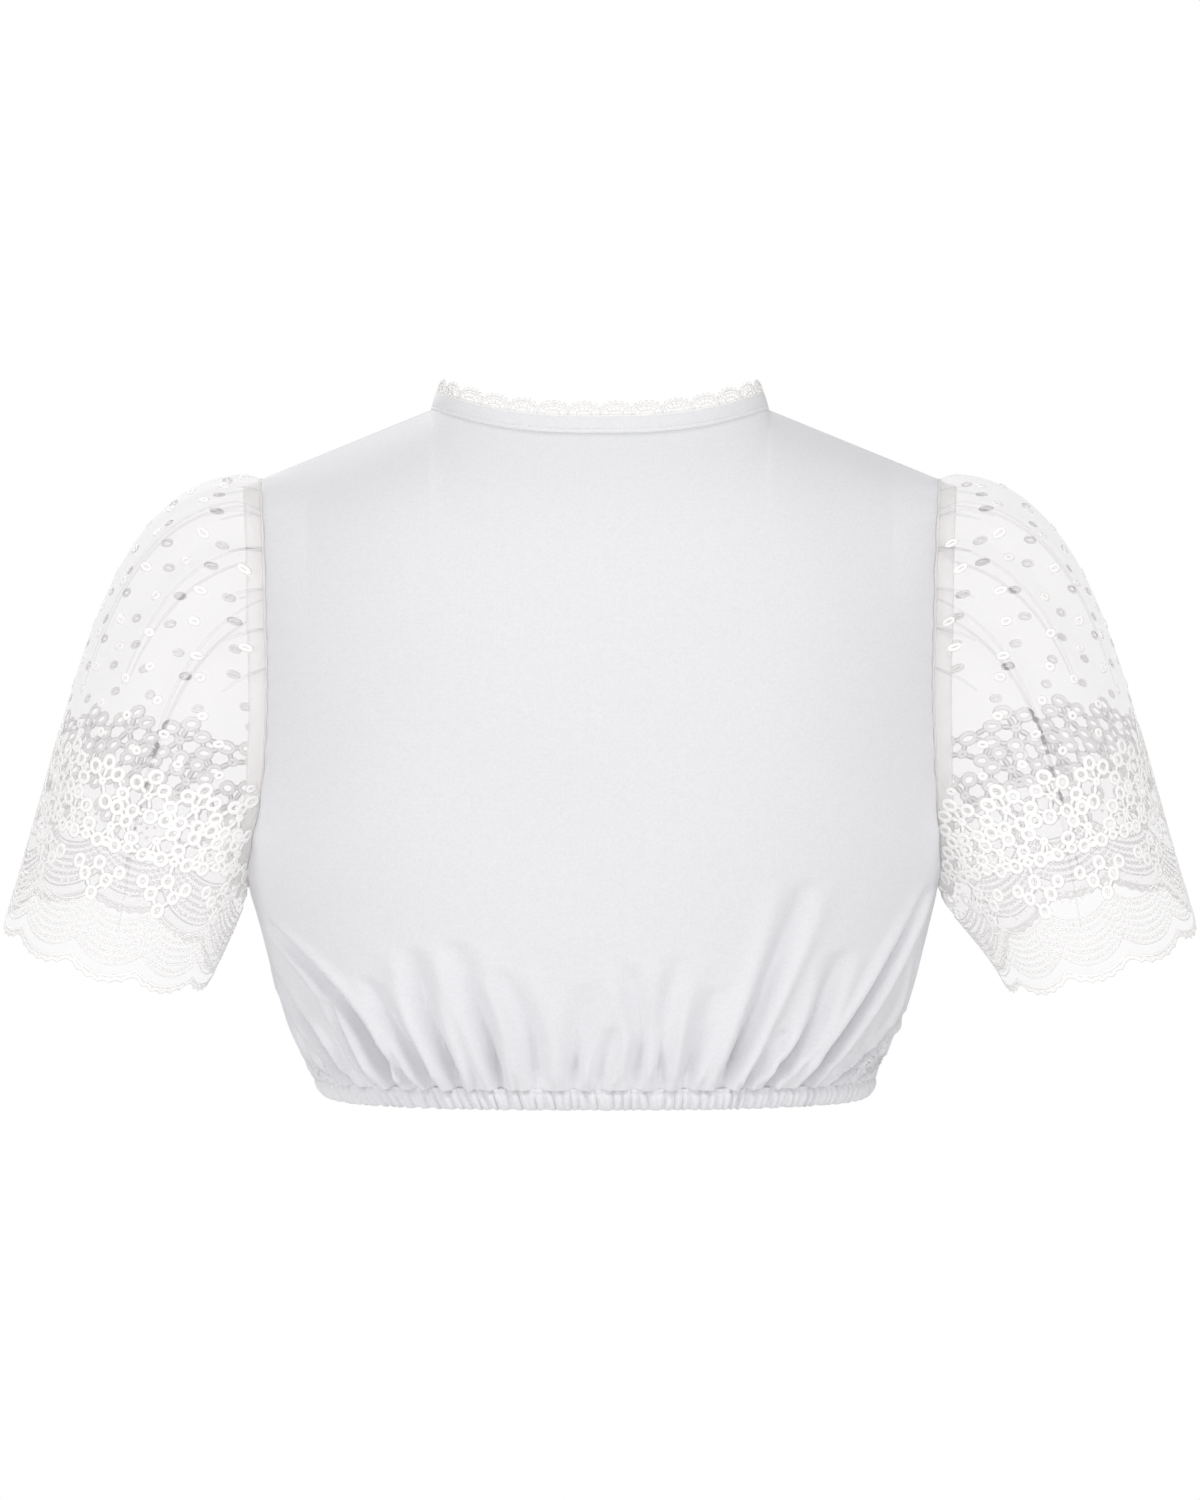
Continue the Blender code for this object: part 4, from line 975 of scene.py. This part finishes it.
def make_casing(settings):
    """The elastic channel round the hem: fine upright gathers, pinched along its stitch line."""
    turns_known, reach = hem_table()
    count = settings.casing_columns
    place = np.arange(count) / count * reach[-1]
    turns = np.interp(place, reach, turns_known)
    profile = (
        (-0.6, -1.2, 1.6), (0.2, -0.6, 1.7), (1.1, -0.9, 1.5), (2.2, -0.3, 2.0), (4.2, -0.1, 2.2),
        (6.4, -0.1, 2.2), (8.4, -0.1, 2.1), (9.7, -0.3, 1.9), (10.4, -0.7, 1.4), (10.7, -1.2, 0.6),
        (10.3, -1.7, 0.1), (8.0, -2.1, 0.1), (4.0, -2.2, 0.1), (1.0, -2.1, 0.1), (-0.4, -1.8, 0.2),
    )
    rows = []
    for drop, push, rib in profile:
        points, out = ring_at(turns, HEM_Z - 0.15 - drop)
        lift = rib_lift(place, drop * 0.9) * rib
        rows.append(points + out * (push - 0.35 + lift)[:, None])
    casing = make_piece(
        "gathered_hem_casing",
        np.concatenate(rows),
        ring_faces(len(rows), count),
        seam_cotton(settings),
        "cotton",
    )
    return casing, reach[-1]


def make_binding(settings):
    """The bias binding round the neck: two folded edges, a rounded top and the pinched line where its stitches
    run.
    """
    steps = 260
    profile = (
        (-0.6, 0.0), (0.1, 0.28), (1.6, 0.35), (2.1, 0.15), (2.7, 0.35), (5.0, 0.5), (7.6, 0.5), (8.7, 0.3),
        (9.1, -0.2), (8.8, -0.8), (7.6, -1.1), (4.0, -1.2), (1.0, -1.2), (-0.3, -0.8),
    )
    rows = []
    for rise, push in profile:
        points, out, _ = neck_edge(rise, steps)
        rows.append(points + unit(out) * push)
    faces = ring_faces(len(rows), 2 * steps)
    binding = make_piece("neck_binding", np.concatenate(rows), faces, seam_cotton(settings), "cotton")
    length = np.linalg.norm(np.diff(rows[0], axis=0), axis=1).sum()
    return binding, length


def make_binding_stitches(settings):
    """The seam's row of small stitches along the binding's lower edge."""
    steps = 420
    line, out, _ = neck_edge(2.1, steps)
    picks = [np.array([line[i], line[i + 1]]) for i in range(0, 2 * steps - 2, 2)]
    points = np.array([p[0] + (p[1] - p[0]) * np.linspace(0, 1, 4)[:, None] for p in picks])
    normal = np.repeat(out[0 : 2 * steps - 2 : 2][:, None], 4, axis=1)
    skin = cords(points + unit(normal) * 0.4, normal, 0.2, 0.22, 4, False)
    return make_piece("binding_stitches", *skin, lace_thread(settings), "cotton")


def make_neck_lace(settings):
    """The lace edging: openwork scallops of thread with rings, bars and picots."""
    steps = LACE_SCALLOPS * 12 // 2
    base, out, way = neck_edge(BAND_HEIGHT - 0.4, steps)
    way[:, 0] *= np.clip(np.abs(base[:, 0]) / 8, 0, 1)
    way, out = unit(way), unit(out)
    count = 2 * steps

    def lay(lines):
        """Lines of (scallops along, height) as points and ways out."""
        lines = np.asarray(lines, float)
        at = lines[..., 0] * 12 % count
        i = at.astype(int) % count
        j, t = (i + 1) % count, (at - at.astype(int))[..., None]
        points = base[i] * (1 - t) + base[j] * t + (way[i] * (1 - t) + way[j] * t) * lines[..., 1:]
        return points, unit(out[i] * (1 - t) + out[j] * t)

    bends = np.linspace(0, math.pi, 15)
    arches = {high: [] for high in (7.0, 5.5, 3.2)}
    loops, bars = [], []
    for k in range(LACE_SCALLOPS):
        for high, kept in arches.items():
            width = 0.49 if high > 6 else (0.40 if high > 4 else 0.24)
            x = k + 0.5 - width * np.cos(bends)
            kept.append(np.stack([x, 0.9 + (high - 0.9) * np.sin(bends) ** 0.8], axis=-1))
        for t in np.linspace(0.14, 0.86, 7) * math.pi:
            centre = np.array([k + 0.5 - 0.52 * math.cos(t), 1.2 + 6.6 * math.sin(t) ** 0.8])
            turn = np.arange(8) * math.pi / 4
            loops.append(centre + np.stack([0.045 * np.cos(turn), 0.75 * np.sin(turn)], axis=-1))
        for t in np.linspace(0.2, 0.8, 5) * math.pi:
            inner = np.array([k + 0.5 - 0.24 * math.cos(t), 0.9 + 2.3 * math.sin(t) ** 0.8])
            outer = np.array([k + 0.5 - 0.46 * math.cos(t), 0.9 + 6.0 * math.sin(t) ** 0.8])
            bars.append(inner + (outer - inner) * np.linspace(0, 1, 4)[:, None])
    parts = []
    for high, wide in ((7.0, 0.5), (5.5, 0.32), (3.2, 0.45)):
        points, ways = lay(arches[high])
        parts.append(cords(points, ways, wide, wide * 0.8, 6, False))
    for lines, closed, wide in ((loops, True, 0.24), (bars, False, 0.26)):
        points, ways = lay(lines)
        parts.append(cords(points, ways, wide, wide * 0.9, 4, closed))
    foot = np.arange(count) / 12.0
    for height, wide in ((0.3, 0.5), (1.3, 0.3)):
        points, ways = lay(np.stack([foot, np.full(count, height)], axis=-1)[None])
        parts.append(cords(points, ways, wide, wide * 0.8, 6, True))
    return make_piece("neck_lace_edging", *together(parts), lace_thread(settings), "lace")


def make_allowance(word, cloth, settings):
    """The seam allowance inside the sleeve's head, with its overlocked edge."""
    count = 240
    girth = np.arange(count) / count * SLEEVE_GIRTH - SLEEVE_GIRTH / 2
    length = cloth.length(girth)
    ripple = 0.5 * np.sin(np.arange(count) * 2 * math.pi / 6) + 0.6 * np.sin(np.arange(count) * 0.41)
    profile = (
        (0.0, -0.1, 0), (1.5, 0.9, 0), (4.0, 2.4, 0.3), (7.5, 3.7, 0.7), (9.6, 4.4, 1),
        (9.6, 5.1, 1), (7.0, 4.5, 0.6), (1.5, 2.2, 0), (0.0, 1.2, 0),
    )
    rows = []
    for below, inward, free in profile:
        points, out = cloth.at(girth, length - below)
        lift = gather_depth(girth * 360 / SLEEVE_GIRTH, np.full(count, below))
        rows.append(points - out * (inward + lift - ripple * free * 0.5)[:, None])
    roll, out = cloth.at(girth, length - 0.1)
    seam = cords((roll - out * 0.2)[None], out[None], 0.9, 0.4, 6, True)
    band = make_piece(
        f"armhole_allowance_{word}",
        *together([(np.concatenate(rows), ring_faces(len(rows), count)), seam]),
        overlocked_tulle(settings),
        "cotton",
    )
    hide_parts(f"armhole_seam_{word}")
    return band


def area_light(name, place, size, power):
    """A soft white light that faces the blouse."""
    data = bpy.data.lights.new(name, "AREA")
    data.shape, data.size, data.energy = "DISK", size, power
    light = bpy.data.objects.new(name, data)
    light.location = place
    light.rotation_euler = (Vector(AIM) - Vector(place)).to_track_quat("-Z", "Y").to_euler()
    bpy.context.scene.collection.objects.link(light)


class BlouseSettings(bpy.types.PropertyGroup):
    """Sizes and colours of the blouse."""

    cotton_colour: bpy.props.StringProperty(name="Cotton", default="#EBEBEE")
    cotton_shade: bpy.props.StringProperty(name="Cotton in shade", default="#E6E6E9")
    tulle_colour: bpy.props.StringProperty(name="Tulle", default="#EFEAEE")
    thread_colour: bpy.props.StringProperty(name="Thread", default="#FAF8F6")
    thread_shade: bpy.props.StringProperty(name="Thread in shade", default="#F6F5F4")
    floor_colour: bpy.props.StringProperty(name="Floor", default="#F2F2F2")
    tulle_cover: bpy.props.FloatProperty(
        name="Tulle cover", description="How much the net hides", default=0.1, subtype="FACTOR"
    )
    cotton_thickness: bpy.props.FloatProperty(
        name="Cotton thickness", description="In millimetres", default=0.45, min=0.1, max=2.0
    )
    tulle_thickness: bpy.props.FloatProperty(
        name="Tulle thickness", description="In millimetres", default=0.15, min=0.05, max=1.0
    )
    panel_columns: bpy.props.IntProperty(
        name="Panel columns", description="Mesh columns across each cotton panel", default=281, min=41
    )
    panel_rows: bpy.props.IntProperty(
        name="Panel rows", description="Mesh rows up each cotton panel", default=140, min=30
    )
    casing_columns: bpy.props.IntProperty(
        name="Casing columns", description="Mesh columns round the hem's channel", default=1640, min=200
    )


class BLOUSE_OT_back(bpy.types.Operator):
    """Make the cotton back with its gathers"""

    bl_idname, bl_label = "blouse.back", "Back"

    def execute(self, context):
        panel = make_panel("cotton_back", BACK, BACK_FOLDS, context.scene.blouse)
        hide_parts("back")
        return {"FINISHED"}


class BLOUSE_OT_front(bpy.types.Operator):
    """Make the cotton front with its V neckline"""

    bl_idname, bl_label = "blouse.front", "Front"

    def execute(self, context):
        panel = make_panel("cotton_front", FRONT, FRONT_FOLDS, context.scene.blouse)
        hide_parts("front")
        return {"FINISHED"}


class BLOUSE_OT_hem_casing(bpy.types.Operator):
    """Make the gathered elastic channel at the hem"""

    bl_idname, bl_label = "blouse.hem_casing", "Hem casing"

    def execute(self, context):
        casing, girth = make_casing(context.scene.blouse)
        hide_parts("hem_casing")
        return {"FINISHED"}


class BLOUSE_OT_neck(bpy.types.Operator):
    """Make the neck binding, its stitches and its lace edging"""

    bl_idname, bl_label = "blouse.neck", "Neck binding and lace"

    def execute(self, context):
        settings = context.scene.blouse
        binding, length = make_binding(settings)
        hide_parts("neck_band")
        stitches, lace = make_binding_stitches(settings), make_neck_lace(settings)
        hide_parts("neck_lace")
        return {"FINISHED"}


class BLOUSE_OT_sleeves(bpy.types.Operator):
    """Make both tulle sleeves with their embroidery and armhole seams"""

    bl_idname, bl_label = "blouse.sleeves", "Sleeves"

    def execute(self, context):
        settings = context.scene.blouse
        for word, side_x in (("left", 1), ("right", -1)):
            shell, strips, cloth, eyelets, area = make_sleeve(word, side_x, settings)
            embroidery = make_embroidery(word, cloth, eyelets, settings)
            band = make_allowance(word, cloth, settings)
        return {"FINISHED"}


class BLOUSE_OT_stage(bpy.types.Operator):
    """Set the pale floor, the soft lights and the camera behind the blouse"""

    bl_idname, bl_label = "blouse.stage", "Stage"

    def execute(self, context):
        settings, scene = context.scene.blouse, context.scene
        bpy.ops.mesh.primitive_circle_add(
            vertices=96, radius=FLOOR_RADIUS, fill_type="NGON", location=(0, 0, FLOOR_Z)
        )
        floor = context.object
        floor.name = "pale_floor"
        matt = bpy.data.materials.new("matt_studio_floor")
        matt.use_nodes = True
        shader = matt.node_tree.nodes["Principled BSDF"]
        shader.inputs["Base Color"].default_value = (*linear(settings.floor_colour), 1)
        shader.inputs["Roughness"].default_value = 0.9
        floor.data.materials.append(matt)
        world = bpy.data.worlds.new("soft_studio")
        world.use_nodes = True
        tree = world.node_tree
        seen = add_node(tree, "ShaderNodeLightPath").outputs["Is Camera Ray"]
        strength = add_node(
            tree, "ShaderNodeMapRange", {"To Min": WORLD_LIGHT, "To Max": 1.0}, [(seen, "Value")]
        )
        tree.nodes["Background"].inputs["Color"].default_value = (1, 1, 1, 1)
        tree.links.new(strength.outputs["Result"], tree.nodes["Background"].inputs["Strength"])
        scene.world = world
        for light in LIGHTS:
            area_light(*light)
        camera = bpy.data.objects.new("camera", bpy.data.cameras.new("camera"))
        camera.data.sensor_fit, camera.data.sensor_height = "VERTICAL", SENSOR
        camera.data.lens = CAMERA_LENS
        camera.location = CAMERA_PLACE
        camera.rotation_euler = (math.radians(90), 0, math.radians(180))
        scene.collection.objects.link(camera)
        scene.camera = camera
        scene.view_settings.view_transform = "Standard"
        return {"FINISHED"}


class BLOUSE_PT_panel(bpy.types.Panel):
    """The blouse's pieces in the sidebar"""

    bl_label, bl_idname = "Dirndl Blouse", "BLOUSE_PT_panel"
    bl_space_type, bl_region_type, bl_category = "VIEW_3D", "UI", "Blouse"

    def draw(self, context):
        for name in BlouseSettings.__annotations__:
            self.layout.prop(context.scene.blouse, name)
        for operator in OPERATORS:
            self.layout.operator(operator.bl_idname)


OPERATORS = (
    BLOUSE_OT_back,
    BLOUSE_OT_front,
    BLOUSE_OT_hem_casing,
    BLOUSE_OT_neck,
    BLOUSE_OT_sleeves,
    BLOUSE_OT_stage,
)


def register():
    """Adds the settings, the operators and the panel."""
    for kind in (BlouseSettings, *OPERATORS, BLOUSE_PT_panel):
        bpy.utils.register_class(kind)
    bpy.types.Scene.blouse = bpy.props.PointerProperty(type=BlouseSettings)


def unregister():
    """Takes them away again."""
    del bpy.types.Scene.blouse
    for kind in reversed((BlouseSettings, *OPERATORS, BLOUSE_PT_panel)):
        bpy.utils.unregister_class(kind)


def main():
    """Makes every piece and the stage."""
    register()
    bpy.ops.blouse.back()
    bpy.ops.blouse.front()
    bpy.ops.blouse.hem_casing()
    bpy.ops.blouse.neck()
    bpy.ops.blouse.sleeves()
    bpy.ops.blouse.stage()


if __name__ == "__main__":
    main()
